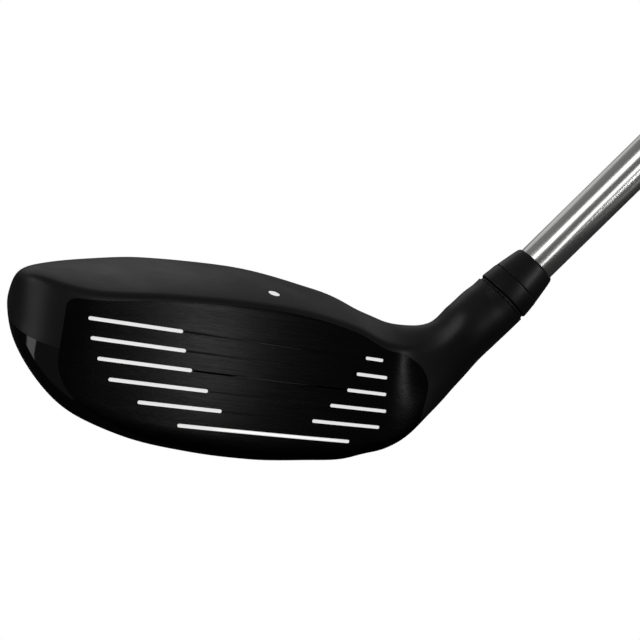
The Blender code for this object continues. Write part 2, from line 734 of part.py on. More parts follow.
def build_weight(head, sole, mats):
    """The port welded through the sole, the weight in it and the weight's screw."""
    frame = empty(
        "weight_frame",
        Matrix.Translation((WEIGHT_X * MM, WEIGHT_Y * MM, sole_height(WEIGHT_X, WEIGHT_Y) * MM))
        @ Matrix.Rotation(math.radians(180 - WEIGHT_TILT), 4, "X"),
        head,
    )
    # Out of the sole is +Z here, and 0 is at the sole's surface.
    wall = WEIGHT_RADIUS + GAP
    outside = wall + PORT_WALL
    floor = -WEIGHT_LENGTH - 1.0
    boss = WEIGHT_SCREW_RADIUS + 1.8
    port = [
        (floor - BOSS_LENGTH, WEIGHT_SCREW_RADIUS + RUN),
        (floor, WEIGHT_SCREW_RADIUS + RUN),
        (floor, wall),
        (-0.4, wall),
        (-0.4, outside),
        (floor - PORT_FLOOR, outside),
        (floor - PORT_FLOOR, boss),
        (floor - BOSS_LENGTH, boss),
    ]
    turned("weight_port", port, frame, mats["port"], segments=32, closed=True)
    hole = [(-12, 0), (-12, outside + GAP), (6, outside + GAP), (6, 0)]
    boolean(sole, turned("port_hole", hole, frame, segments=32))
    seat = -WEIGHT_LENGTH * 0.55
    top = -0.5
    hole_radius = WEIGHT_SCREW_RADIUS + RUN
    recess = WEIGHT_SCREW_HEAD + GAP
    weight = [
        (-WEIGHT_LENGTH, hole_radius),
        (seat, hole_radius),
        (seat, recess),
        (top, recess),
        (top, WEIGHT_RADIUS - 0.4),
        (top - 0.4, WEIGHT_RADIUS),
        (-WEIGHT_LENGTH, WEIGHT_RADIUS),
    ]
    turned("rear_weight", weight, frame, mats["weight"], segments=32, closed=True)
    damper_out = WEIGHT_RADIUS - 0.5
    damper_in = WEIGHT_SCREW_RADIUS + 1.0
    damper = [
        (floor + RUN, damper_in),
        (floor + RUN, damper_out),
        (-WEIGHT_LENGTH - RUN, damper_out),
        (-WEIGHT_LENGTH - RUN, damper_in),
    ]
    turned("weight_damper", damper, frame, mats["damper"], segments=24, closed=True)
    socket = lobed(1.9, 6, 0.45, 24)
    low = seat + RUN
    screw = [
        (top - 1.3, 0),
        (top - 1.2, socket),
        (top, socket),
        (top, WEIGHT_SCREW_HEAD - 0.2),
        (top - 0.2, WEIGHT_SCREW_HEAD),
        (low, WEIGHT_SCREW_HEAD),
        (low, WEIGHT_SCREW_RADIUS),
        (floor - BOSS_LENGTH + 0.8, WEIGHT_SCREW_RADIUS),
        (floor - BOSS_LENGTH + 0.3, WEIGHT_SCREW_RADIUS - 0.5),
        (floor - BOSS_LENGTH + 0.3, 0),
    ]
    turned("weight_screw", screw, frame, mats["screw"], segments=24)


def sole_height(x, y):
    """Height of the sole's surface at x and y."""
    under = [p for p, degrees in body_section(x) if degrees <= 0 and p.y < TOP_HEIGHT / 2]
    under.sort(key=lambda p: p.x)
    for a, b in zip(under, under[1:]):
        if a.x <= y <= b.x:
            return mix(a.y, b.y, (y - a.x) / (b.x - a.x))
    return under[-1].y


def build_resin(head, mats):
    """Pad of tacky resin on the floor of the hollow, at the toe, which catches loose crumbs."""
    x, y = -24.0, 9.0
    z = sole_height(x, y) + WALL + 1.0
    frame = empty("resin_frame", Matrix.Translation((x * MM, y * MM, z * MM)), head)
    profile = [(0.3, 0), (0.3, 3.2), (1.2, 3.0), (1.9, 2.0), (2.1, 0)]
    turned("resin_pad", profile, frame, mats["resin"], segments=16)


# ---------------------------------------------------------------- shaft and grip


def shaft_radius(place):
    """Radius of the shaft at this distance from the ground along the axis."""
    butt = CLUB_LENGTH - GRIP_CAP_LENGTH
    start = HOSEL_TOP + TIP_PARALLEL
    if place <= start:
        return SHAFT_TIP_RADIUS
    return mix(SHAFT_TIP_RADIUS, SHAFT_BUTT_RADIUS, min(1.0, (place - start) / (butt - 200.0 - start)))


def build_shaft(hosel_axis, shaft_floor, mats):
    tip = shaft_floor + GAP
    butt = CLUB_LENGTH - GRIP_CAP_LENGTH - GAP
    stations = [tip, tip + 0.5, HOSEL_TOP + TIP_PARALLEL]
    taper_end = CLUB_LENGTH - GRIP_CAP_LENGTH - 200.0
    stations += [mix(HOSEL_TOP + TIP_PARALLEL, taper_end, i / 4) for i in range(1, 5)]
    stations.append(butt)
    outside = [(z, shaft_radius(z) - (0.3 if z == tip else 0.0)) for z in stations]
    inside = [(z, shaft_radius(z) - SHAFT_WALL) for z in reversed(stations)]
    turned("shaft", outside + inside, hosel_axis, mats["shaft"], segments=40, closed=True)

    plug_radius = SHAFT_TIP_RADIUS - SHAFT_WALL - RUN
    plug = [
        (tip + 0.5, 0),
        (tip + 0.5, plug_radius - 0.3),
        (tip + 0.8, plug_radius),
        (tip + TIP_PLUG_LENGTH, plug_radius),
        (tip + TIP_PLUG_LENGTH, 0),
    ]
    turned("tip_plug", plug, hosel_axis, mats["plug"], segments=24)

    mouth = CLUB_LENGTH - GRIP_LENGTH
    grip_end = CLUB_LENGTH - GRIP_CAP_LENGTH
    steps = 8
    places = [mix(mouth, grip_end, i / steps) for i in range(steps + 1)]
    tape_in = [(z, shaft_radius(z) + RUN) for z in places]
    tape_in[0] = (mouth + 3.0, tape_in[0][1])
    tape_in[-1] = (grip_end - GAP, tape_in[-1][1])
    tape_out = [(z, r + TAPE_THICKNESS) for z, r in reversed(tape_in)]
    turned("grip_tape", tape_in + tape_out, hosel_axis, mats["tape"], segments=40, closed=True)

    mouth_radius = shaft_radius(mouth) + GRIP_CLEAR + GRIP_MOUTH_WALL
    grip_in = [(z, shaft_radius(z) + GRIP_CLEAR) for z in places]
    grip_out = [
        (z, mix(mouth_radius, GRIP_BUTT_RADIUS, ((z - mouth) / (grip_end - mouth)) ** 1.15))
        for z in reversed(places)
    ]
    lip = (mouth, mouth_radius - 0.5)
    grip_out[-1] = (mouth + 0.6, mouth_radius)
    grip = grip_in + grip_out + [lip]
    turned("grip", grip, hosel_axis, mats["grip"], segments=40, closed=True)

    low = grip_end + GAP
    cap = [
        (low, GRIP_VENT_RADIUS),
        (low, GRIP_BUTT_RADIUS),
        (low + GRIP_CAP_LENGTH * 0.45, GRIP_BUTT_RADIUS),
        (low + GRIP_CAP_LENGTH * 0.75, GRIP_BUTT_RADIUS - 0.6),
        (CLUB_LENGTH, GRIP_BUTT_RADIUS - 2.2),
        (CLUB_LENGTH, GRIP_VENT_RADIUS),
    ]
    turned("grip_cap", cap, hosel_axis, mats["cap"], segments=40, closed=True)


# ---------------------------------------------------------------- the club


def main():
    clear_scene()
    mats = {
        "body": material("satin_black", (0.030, 0.031, 0.033), 0.45, 0.0),
        "face": material("dark_brushed_steel", (0.085, 0.085, 0.088), 0.38, 1.0),
        "crown": material("satin_black_crown", (0.030, 0.031, 0.033), 0.42, 0.0),
        "sole": material("gloss_black", (0.012, 0.012, 0.013), 0.08, 0.0),
        "sleeve": material("black_anodised", (0.040, 0.042, 0.046), 0.36, 0.7),
        "ring": material("black_polymer", (0.015, 0.015, 0.015), 0.6, 0.0),
        "ferrule": material("satin_ferrule", (0.045, 0.046, 0.05), 0.4, 0.0),
        "screw": material("black_screw", (0.05, 0.05, 0.052), 0.35, 1.0),
        "washer": material("steel_washer", (0.45, 0.45, 0.46), 0.3, 1.0),
        "clip": material("spring_clip", (0.12, 0.12, 0.12), 0.4, 0.0),
        "port": material("port_steel", (0.25, 0.25, 0.26), 0.4, 1.0),
        "weight": material("weight_steel", (0.42, 0.42, 0.43), 0.32, 1.0),
        "damper": material("damper_rubber", (0.03, 0.03, 0.03), 0.8, 0.0),
        "resin": material("tacky_resin", (0.55, 0.42, 0.22), 0.35, 0.0),
        "shaft": material("satin_chrome", (0.62, 0.62, 0.61), 0.26, 1.0),
        "plug": material("brass_plug", (0.62, 0.46, 0.2), 0.35, 1.0),
        "tape": material("paper_tape", (0.62, 0.58, 0.48), 0.9, 0.0),
        "grip": material("black_rubber", (0.022, 0.022, 0.022), 0.75, 0.0),
        "cap": material("cap_rubber", (0.03, 0.03, 0.03), 0.6, 0.0),
    }
    ground = -(CLUB_LENGTH - HOLD_FROM_BUTT) * axis_dir
    hosel_axis = empty(
        "hosel_axis", Matrix.Translation(ground * MM) @ Matrix.Rotation(math.pi / 2 - lie, 4, "Y")
    )
    head = empty("head", Matrix.Translation((ground - Vector((axis_ground_x, AXIS_BACK, 0))) * MM))
    shaft_floor = build_adapter(hosel_axis, mats)
    build_shaft(hosel_axis, shaft_floor, mats)
    _, sole = build_head(head, mats)
    build_hosel_screw(hosel_axis, mats)
    build_weight(head, sole, mats)
    build_resin(head, mats)


main()
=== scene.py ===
"""Fairway wood with an adjustable hosel: the finished club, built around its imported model.

Everything is in metres in the model's own frame. Sizes are written in millimetres and
multiplied by MM where a mesh is made.
"""

# ---------------------------------------------------------------- the club's axes
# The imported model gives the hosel's axis. The head hangs from it in the address pose, and
# its own frame has X = 0 at the face's centre, Y = 0 on the face and Z = 0 on the ground.

import json
import math

import bmesh
import bpy
from mathutils import Matrix, Vector
from mathutils.bvhtree import BVHTree


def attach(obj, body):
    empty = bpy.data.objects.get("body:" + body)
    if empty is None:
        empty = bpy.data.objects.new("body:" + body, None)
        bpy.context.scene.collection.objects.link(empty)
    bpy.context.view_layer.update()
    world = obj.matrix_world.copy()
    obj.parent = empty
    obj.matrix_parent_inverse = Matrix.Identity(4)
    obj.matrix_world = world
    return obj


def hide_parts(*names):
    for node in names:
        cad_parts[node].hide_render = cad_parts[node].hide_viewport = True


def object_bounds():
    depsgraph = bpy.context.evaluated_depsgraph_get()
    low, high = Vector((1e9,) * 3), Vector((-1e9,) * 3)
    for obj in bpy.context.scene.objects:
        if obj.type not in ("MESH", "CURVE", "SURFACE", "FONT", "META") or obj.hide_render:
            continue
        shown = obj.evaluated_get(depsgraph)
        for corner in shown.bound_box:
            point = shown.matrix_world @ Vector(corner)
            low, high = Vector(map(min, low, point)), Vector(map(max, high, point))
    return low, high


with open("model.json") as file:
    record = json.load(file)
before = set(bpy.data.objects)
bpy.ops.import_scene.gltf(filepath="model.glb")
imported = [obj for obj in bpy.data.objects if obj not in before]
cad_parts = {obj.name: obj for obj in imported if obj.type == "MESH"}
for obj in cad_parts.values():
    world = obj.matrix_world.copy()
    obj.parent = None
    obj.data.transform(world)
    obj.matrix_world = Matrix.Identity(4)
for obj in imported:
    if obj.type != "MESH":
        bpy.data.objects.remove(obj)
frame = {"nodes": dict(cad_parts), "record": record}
cad_low, cad_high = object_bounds()

MM = 0.001
LIE = math.radians(60.1)
LOFT = math.radians(22.8)
HOSEL_TOP = 50.5  # ground to the hosel's rim, along the axis
AXIS_BACK = 8.0  # face centre back to the hosel's axis
AXIS_FROM_CENTRE = 41.9
TOP_HEIGHT = 32.3  # ground to the top line
FACE_CENTRE = 0.4706 * TOP_HEIGHT
axis_dir = Vector((math.cos(LIE), 0.0, math.sin(LIE)))
joints = {joint["name"]: joint for joint in frame["record"]["behaviour"]["joints"]}
ground = Vector(joints["loft_setting"]["pos_m"]) - HOSEL_TOP * MM * axis_dir
axis_ground_x = AXIS_FROM_CENTRE - FACE_CENTRE / math.tan(LIE)

head_place = Matrix.Translation(ground - Vector((axis_ground_x, AXIS_BACK, 0.0)) * MM)
axis_place = Matrix.Translation(ground) @ Matrix.Rotation(math.pi / 2 - LIE, 4, "Y")
face_place = (
    head_place
    @ Matrix.Translation((0, 0, FACE_CENTRE * MM))
    @ Matrix.Rotation(math.pi / 2 - LOFT, 4, "X")
)

# ---------------------------------------------------------------- the head's shell
# An investment-cast steel body with a thin forged crown plasma-welded into it. The weld is
# ground flush and the whole shell painted, so crown and body show as one satin black skin.
# Toe, back and sole below the paint line are masked off and lacquered gloss black.

TOE_LENGTH = 50.7
HEEL_LENGTH = AXIS_FROM_CENTRE - 6.9
HEAD_DEPTH = 62.0
BULGE_RADIUS = 280.0
ROLL_RADIUS = 280.0
TOP_LINE_ROUND = 1.6
LEADING_EDGE_ROUND = 4.0
TOE_ROUND = 16.2
TOE_POLE_BACK = 22.0
TOE_POLE_HEIGHT = 19.2
TOE_UNDER = (2.58, 2.91)
TOE_OVER = (4.73, 4.61)
CROWN_FULLNESS = 0.386
HOSEL_RADIUS = 7.0
HOSEL_STRAIGHT = 1.5
# Profiles along the head as (place, share), from -1 at the toe to 1 at the heel
TOP_PROFILE = (
    (-1.0, 0.914), (-0.78, 0.892), (-0.4, 0.9585), (-0.04, 1.0), (0.4, 0.989), (0.69, 0.943), (1.0, 0.857)
)
SOLE_PROFILE = (
    (-1.0, 0.356), (-0.78, 0.18), (-0.52, 0.06), (-0.24, 0.013), (0.06, 0.0), (0.46, 0.019),
    (0.71, 0.035), (1.0, 0.096),
)
BACK_PROFILE = (
    (-1.0, 0.484), (-0.8, 0.71), (-0.5, 0.92), (-0.1, 1.0), (0.43, 0.968), (0.8, 0.84), (1.0, 0.71)
)
BACK_HEIGHT_PROFILE = ((-1.0, 0.575), (-0.5, 0.447), (0.0, 0.415), (0.57, 0.447), (1.0, 0.543))
CROWN_RISE = ((-1.0, 5.1), (-0.5, 3.8), (0.0, 5.0), (0.57, 6.0), (1.0, 12.2))  # degrees
NECK_INSIDE = ((0.0, 0.0), (0.12, 0.0), (0.3, 0.27), (0.6, 0.9), (0.85, 1.03), (1.0, 1.0))
NECK_BACK = ((0.0, 0.0), (0.15, 0.496), (0.35, 0.915), (0.6, 1.005), (0.85, 0.995), (1.0, 1.0))
NECK_FRONT = ((0.0, 0.0), (0.15, 0.284), (0.35, 0.778), (0.6, 0.912), (0.85, 0.945), (1.0, 1.0))
NECK_ROUNDING = ((0.0, 0.0), (0.15, 0.13), (0.35, 0.606), (0.6, 0.96), (0.85, 1.0), (1.0, 1.0))
NECK_OUTSIDE = (
    (0.0, 0.0), (0.14, 0.179), (0.22, 0.3345), (0.32, 0.484), (0.42, 0.654), (0.52, 0.775),
    (0.63, 0.885), (0.76, 0.956), (1.0, 1.0),
)
# Points round one section and sections along the head: fine where it shows, coarse inside
FINE = {"face": 16, "top": 7, "crown": 30, "sole": 26, "edge": 7, "toe": 30, "body": 56, "neck": 44}
COARSE = {"face": 6, "top": 3, "crown": 10, "sole": 10, "edge": 4, "toe": 8, "body": 14, "neck": 10}
SHARP_ABOVE = math.radians(32)

neck_top = HOSEL_TOP - HOSEL_STRAIGHT
crotch_radius = (
    axis_ground_x + neck_top * math.cos(LIE) - HEEL_LENGTH
) / math.sin(LIE) - HOSEL_RADIUS
across_axis = Vector((math.sin(LIE), 0.0, -math.cos(LIE)))
pivot = Vector((axis_ground_x, 0.0, 0.0)) + neck_top * axis_dir - (HOSEL_RADIUS + crotch_radius) * across_axis


def mix(a, b, t):
    return a + (b - a) * t


def along(profile, place):
    """Smooth curve through the profile's (place, value) pairs."""
    places = [pair[0] for pair in profile]
    values = [pair[1] for pair in profile]
    last = len(profile) - 1
    if place <= places[0]:
        return values[0]
    if place >= places[last]:
        return values[last]
    i = max(j for j in range(last) if places[j] <= place)

    def slope(j):
        if j == last:
            return 0.0
        ahead = (values[j + 1] - values[j]) / (places[j + 1] - places[j])
        if j == 0:
            return ahead
        behind = (values[j] - values[j - 1]) / (places[j] - places[j - 1])
        near, far = places[j] - places[j - 1], places[j + 1] - places[j]
        return (behind * far + ahead * near) / (near + far)

    step = places[i + 1] - places[i]
    t = (place - places[i]) / step
    return (
        (2 * t**3 - 3 * t**2 + 1) * values[i]
        + (t**3 - 2 * t**2 + t) * slope(i) * step
        + (3 * t**2 - 2 * t**3) * values[i + 1]
        + (t**3 - t**2) * slope(i + 1) * step
    )


def place_of(x):
    return x / TOE_LENGTH if x < 0 else x / HEEL_LENGTH


def face_y(x, z):
    """How far back the face is at this x and height, with its loft, bulge and roll."""
    up = (z - FACE_CENTRE) / math.cos(LOFT)
    sag = x * x / (2 * BULGE_RADIUS) + up * up / (2 * ROLL_RADIUS)
    return up * math.sin(LOFT) + sag * math.cos(LOFT)


def bezier(points, t):
    points = [Vector(p) for p in points]
    while len(points) > 1:
        points = [a.lerp(b, t) for a, b in zip(points, points[1:])]
    return points[0]


def body_section(x, inset, counts):
    """Section of the head at x as (point, angle on the hosel's circle) pairs, points as (y, z)."""
    place = place_of(x)
    top = along(TOP_PROFILE, place) * TOP_HEIGHT - inset
    sole = along(SOLE_PROFILE, place) * TOP_HEIGHT + inset
    back = along(BACK_PROFILE, place) * HEAD_DEPTH - inset
    back_z = along(BACK_HEIGHT_PROFILE, place) * TOP_HEIGHT
    rise = math.radians(along(CROWN_RISE, place))
    front = inset / math.cos(LOFT)
    corner = Vector((face_y(x, top) + front, top))
    edge = Vector((face_y(x, sole + 0.3) + front, sole + 0.3))
    up_face = (corner - edge).normalized()
    crown_dir = Vector((math.cos(rise), math.sin(rise)))
    sole_dir = Vector((math.cos(0.05), -math.sin(0.05)))
    crown_start = corner + TOP_LINE_ROUND * crown_dir
    sole_start = edge + LEADING_EDGE_ROUND * sole_dir
    rear = Vector((back, back_z))
    low = edge.y + LEADING_EDGE_ROUND * up_face.y
    high = corner.y - TOP_LINE_ROUND * up_face.y
    points = []
    for i in range(counts["face"]):
        t = i / (counts["face"] - 1)
        z = mix(low, high, t)
        points.append((Vector((face_y(x, z) + front, z)), mix(225, 150, t)))
    face_top = points[-1][0]
    for i in range(1, counts["top"] + 1):
        t = i / counts["top"]
        points.append((bezier((face_top, corner, crown_start), t), mix(150, 135, t)))
    span = back - crown_start.x
    crown = (
        crown_start,
        crown_start + crown_dir * span * 0.5,
        rear + Vector((0, (top - back_z) * CROWN_FULLNESS)),
        rear,
    )
    for i in range(1, counts["crown"] + 1):
        t = i / counts["crown"]
        points.append((bezier(crown, t), mix(135, 0, t)))
    under = (
        rear,
        rear - Vector((0, (back_z - sole) * 0.85)),
        sole_start + sole_dir * span * 0.55,
        sole_start,
    )
    for i in range(1, counts["sole"] + 1):
        t = i / counts["sole"]
        points.append((bezier(under, t), mix(0, -120, t)))
    face_bottom = edge + LEADING_EDGE_ROUND * up_face
    for i in range(1, counts["edge"]):
        t = i / counts["edge"]
        points.append((bezier((sole_start, edge, face_bottom), t), mix(-120, -135, t)))
    return points


def toe_section(x, inset, counts):
    """Section near the toe, drawn in towards the toe's pole."""
    reach = min(1.0, max(0.0, (TOE_ROUND - TOE_LENGTH - x) / (TOE_ROUND - inset)))
    low = max(0.0, 1 - reach ** TOE_UNDER[0]) ** (1 / TOE_UNDER[1])
    high = max(0.0, 1 - reach ** TOE_OVER[0]) ** (1 / TOE_OVER[1])
    ring = []
    for point, _ in body_section(x, inset, counts):
        y = point.x - TOE_POLE_BACK
        z = point.y - TOE_POLE_HEIGHT
        ring.append(Vector((x, TOE_POLE_BACK + low * y, TOE_POLE_HEIGHT + (high if z > 0 else low) * z)))
    return ring


def neck_section(turn, inset, counts):
    """Section of the neck, swung about the pivot and closing to the hosel's circle."""
    points = body_section(HEEL_LENGTH, inset, counts)
    reach = [pivot.z - point.y for point, _ in points]
    width = [point.x for point, _ in points]
    radius = HOSEL_RADIUS - inset
    near = mix(min(reach), crotch_radius + inset, along(NECK_INSIDE, turn))
    far = mix(max(reach), crotch_radius + 2 * HOSEL_RADIUS - inset, along(NECK_OUTSIDE, turn))
    front = mix(min(width), AXIS_BACK - radius, along(NECK_FRONT, turn))
    rear = mix(max(width), AXIS_BACK + radius, along(NECK_BACK, turn))
    rounding = along(NECK_ROUNDING, turn)
    down = Vector((math.sin(turn * LIE), 0.0, -math.cos(turn * LIE)))
    depth = max(width) - min(width)
    squeeze = depth / (rear - front) - 1
    ring = []
    for (_, degrees), q, y in zip(points, reach, width):
        q = mix(near, far, (q - min(reach)) / (max(reach) - min(reach)))
        # The section narrows from the back, so that the face runs on in its own plane.
        share = (y - min(width)) / depth
        y = front + depth * share / (1 + squeeze * share)
        angle = math.radians(degrees)
        q = mix(q, (near + far) / 2 - (far - near) / 2 * math.sin(angle), rounding)
        y = mix(y, (front + rear) / 2 + (rear - front) / 2 * math.cos(angle), rounding)
        point = pivot + q * down
        ring.append(Vector((point.x, y, point.z)))
    return ring


def bridge_rings(bm, rings, closed=False):
    """Joins rings of equal length with quads. A ring of one vertex is a pole."""
    pairs = list(zip(rings, rings[1:]))
    if closed:
        pairs.append((rings[-1], rings[0]))
    for low, high in pairs:
        count = max(len(low), len(high))
        for i in range(count):
            j = (i + 1) % count
            corners = []
            for vert in (low[i % len(low)], low[j % len(low)], high[j % len(high)], high[i % len(high)]):
                if vert not in corners:
                    corners.append(vert)
            if len(corners) > 2:
                bm.faces.new(corners)


def piece(name, bm, place):
    """The bmesh as a closed, smooth-shaded object in its own frame."""
    bmesh.ops.recalc_face_normals(bm, faces=bm.faces)
    mesh = bpy.data.meshes.new(name)
    bm.to_mesh(mesh)
    bm.free()
    obj = bpy.data.objects.new(name, mesh)
    bpy.context.scene.collection.objects.link(obj)
    obj.matrix_world = place
    mesh.shade_smooth()
    mesh.set_sharp_from_angle(angle=SHARP_ABOVE)
    return obj


def eased(rings, first, last):
    """The rings with the join between head and neck smoothed, without drawing them in."""
    for step in range(40):
        weight = 0.5 if step % 2 == 0 else -0.51
        moved = list(rings)
        for i in range(first, last):
            moved[i] = [
                p + weight * ((before + after) / 2 - p)
                for before, p, after in zip(rings[i - 1], rings[i], rings[i + 1])
            ]
        rings = moved
    return rings


def head_loft(name, inset=0.0, last_turn=1.0, counts=FINE, straight=0.0):
    """The head's outer shape, drawn in by the inset, as one closed solid."""
    toe = -TOE_LENGTH + inset
    start = TOE_ROUND - TOE_LENGTH
    rings = []
    for i in range(counts["toe"]):
        t = math.sin(0.5 * math.pi * (i + 0.35) / counts["toe"])
        rings.append(toe_section(mix(toe, start, 1 - math.sqrt(1 - t * t) if i else 0.0015), inset, counts))
    for i in range(counts["body"]):
        x = mix(start, HEEL_LENGTH, i / (counts["body"] - 1))
        rings.append([Vector((x, p.x, p.y)) for p, _ in body_section(x, inset, counts)])
    turns = max(2, round(counts["neck"] * last_turn))
    for i in range(1, turns + 1):
        rings.append(neck_section(last_turn * i / turns, inset, counts))
    if counts is FINE:
        rings = eased(rings, counts["toe"] + counts["body"] - 12, counts["toe"] + counts["body"] + 16)
    if straight:
        rings.append([p + straight * axis_dir for p in rings[-1]])
    bm = bmesh.new()
    made = [[bm.verts.new(p * MM) for p in ring] for ring in rings]
    bridge_rings(bm, made)
    bm.faces.new(made[0])
    bm.faces.new(made[-1])
    bmesh.ops.triangulate(bm, faces=[f for f in bm.faces if len(f.verts) > 4])
    return piece(name, bm, head_place)


def machined(target, cuts):
    """Makes the cuts one after another and leaves the target a plain mesh."""
    for operation, cutter in cuts:
        modifier = target.modifiers.new(cutter.name, "BOOLEAN")
        modifier.operation = operation
        modifier.object = cutter
        modifier.solver = "EXACT"
    bpy.context.view_layer.update()
    graph = bpy.context.evaluated_depsgraph_get()
    mesh = bpy.data.meshes.new_from_object(target.evaluated_get(graph))
    target.modifiers.clear()
    target.data = mesh
    mesh.shade_smooth()
    mesh.set_sharp_from_angle(angle=SHARP_ABOVE)
    for _, cutter in cuts:
        bpy.data.objects.remove(cutter, do_unlink=True)
    return target


def lathe(name, profile, place, segments=96, closed=False):
    """A solid turned about its own Z from (z, radius) pairs. A radius may vary with the angle."""
    bm = bmesh.new()
    rings = []
    for z, radius in profile:
        if radius == 0:
            rings.append([bm.verts.new((0.0, 0.0, z * MM))])
            continue
        ring = []
        for i in range(segments):
            angle = 2 * math.pi * i / segments
            r = radius(angle) if callable(radius) else radius
            ring.append(bm.verts.new((r * MM * math.cos(angle), r * MM * math.sin(angle), z * MM)))
        rings.append(ring)
    bridge_rings(bm, rings, closed)
    return piece(name, bm, place)


def teeth(root, tip, count, share=0.5, flank=0.22):
    """Radius by angle of a ring of teeth with sloping flanks."""

    def radius(angle):
        t = (angle * count / (2 * math.pi)) % 1.0
        from_middle = abs(t - 0.5) * 2
        rise = min(max((share + flank / 2 - from_middle) / flank, 0.0), 1.0)
        return mix(root, tip, rise)

    return radius


SPLINES = 12
BORE_RADIUS = 5.6
SPLINE_ROOT = 5.7
SPLINE_TIP = 6.2
SPLINE_RUN = 0.2
SPLINE_MOUTH = HOSEL_TOP - 6.8
PORT_RADIUS = 5.0
SHELF_LOW = 19.0
BORE_FLOOR = 21.5
SCREW_HOLE = 2.7
MOUTH_CHAMFER = 0.25

notches = teeth(SPLINE_ROOT + SPLINE_RUN, SPLINE_TIP + SPLINE_RUN, SPLINES, 0.55)
bore = lathe(
    "bore",
    [
        (-20, 0), (-20, PORT_RADIUS), (SHELF_LOW, PORT_RADIUS), (SHELF_LOW, SCREW_HOLE),
        (BORE_FLOOR, SCREW_HOLE), (BORE_FLOOR, BORE_RADIUS), (SPLINE_MOUTH, BORE_RADIUS),
        (SPLINE_MOUTH, notches), (HOSEL_TOP - MOUTH_CHAMFER, notches),
        (HOSEL_TOP + 0.05, SPLINE_TIP + SPLINE_RUN + MOUTH_CHAMFER),
        (HOSEL_TOP + 5, SPLINE_TIP + SPLINE_RUN + MOUTH_CHAMFER), (HOSEL_TOP + 5, 0),
    ],
    axis_place,
    segments=144,
)

PLATE_TOE = 9.3 - TOE_LENGTH
PLATE_HEEL = HEEL_LENGTH + 9.2
PLATE_TOP_MARGIN = 0.6
PLATE_EDGE_MARGIN = ((-1.0, 5.6), (-0.72, 5.0), (-0.5, 3.2), (-0.2, 2.4), (1.0, 2.4))
PLATE_TOP_CORNER = 2.0
PLATE_EDGE_CORNER = 6.0
PLATE_HEEL_CORNER = 9.0
SKIN = 0.65
SEAM = 0.05


def corner_drop(end, corner):
    """How far a rounded corner has drawn the edge in, this far from its end."""
    if end >= corner:
        return 0.0
    return corner - math.sqrt(max(0.0, corner**2 - (corner - end) ** 2))


def face_outline(x, grow=0.0):
    """Lower and upper edge of the face insert at x, up the face."""
    place = min(place_of(x), 1.0)
    top = (along(TOP_PROFILE, place) * TOP_HEIGHT - FACE_CENTRE) / math.cos(LOFT) + grow - PLATE_TOP_MARGIN
    sole = (along(SOLE_PROFILE, place) * TOP_HEIGHT - FACE_CENTRE) / math.cos(LOFT) - grow
    sole += along(PLATE_EDGE_MARGIN, place)
    from_toe = x - PLATE_TOE + grow
    from_heel = PLATE_HEEL + grow - x
    top -= corner_drop(from_toe, PLATE_TOP_CORNER) + corner_drop(from_heel, PLATE_HEEL_CORNER)
    sole += corner_drop(from_toe, PLATE_EDGE_CORNER) + corner_drop(from_heel, PLATE_HEEL_CORNER)
    return sole, top


def face_block(name, grow=0.0):
    """Block over the insert's outline, from well in front of the face to well behind it."""
    bm = bmesh.new()
    rings = []
    steps = 72
    for i in range(steps + 1):
        x = mix(PLATE_TOE - grow, PLATE_HEEL + grow, 0.5 - 0.5 * math.cos(math.pi * i / steps))
        sole, top = face_outline(x, grow)
        ring = [(x, sole, -6.0), (x, top, -6.0), (x, top, 11.0), (x, sole, 11.0)]
        rings.append([bm.verts.new(Vector(p) * MM) for p in ring])
    bridge_rings(bm, rings)
    bm.faces.new(rings[0])
    bm.faces.new(rings[-1])
    return piece(name, bm, face_place)


def sole_block(name, front, back, toe, heel, corner, grow=0.0):
    """Upright block over the sole insert's rounded outline."""
    near = []
    far = []
    steps = 48
    for i in range(steps + 1):
        x = mix(toe - grow, heel + grow, 0.5 - 0.5 * math.cos(math.pi * i / steps))
        drop = corner_drop(x - toe + grow, corner) + corner_drop(heel + grow - x, corner)
        near.append((x, front - grow + drop))
        far.append((x, along(BACK_PROFILE, place_of(x)) * HEAD_DEPTH - back + grow - drop))
    bm = bmesh.new()
    outline = near + far[::-1]
    low = [bm.verts.new((x * MM, y * MM, -20 * MM)) for x, y in outline]
    high = [bm.verts.new((x * MM, y * MM, 12 * MM)) for x, y in outline]
    bridge_rings(bm, [low, high])
    bm.faces.new(low)
    bm.faces.new(high)
    return piece(name, bm, head_place)


WALL = 2.0
sole_shape = (14.0, 9.0, 16.7 - TOE_LENGTH, HEEL_LENGTH - 13.0, 9.0)
hollow = machined(
    head_loft("hollow", WALL, 0.5, COARSE),
    [("DIFFERENCE", lathe("hosel_core", [(-20, 0), (-20, 7.4), (60, 7.4), (60, 0)], axis_place, 48))],
)
pocket_floor = head_loft("pocket_floor", SKIN + 0.1)
face_pocket = machined(face_block("face_pocket", SEAM), [("DIFFERENCE", pocket_floor)])
head_shell = machined(
    head_loft("head_shell", straight=HOSEL_STRAIGHT),
    [
        ("DIFFERENCE", hollow),
        ("DIFFERENCE", face_pocket),
        ("DIFFERENCE", sole_block("sole_pocket", *sole_shape, grow=SEAM)),
        ("DIFFERENCE", bore),
    ],
)


def shader_group(name, inputs, outputs):
    """An empty node group with these float or vector sockets."""
    group = bpy.data.node_groups.new(name, "ShaderNodeTree")
    for label, kind, value in inputs:
        socket = group.interface.new_socket(label, in_out="INPUT", socket_type=kind)
        socket.default_value = value
    for label in outputs:
        group.interface.new_socket(label, in_out="OUTPUT", socket_type="NodeSocketFloat")
    return group, group.nodes.new("NodeGroupInput"), group.nodes.new("NodeGroupOutput")


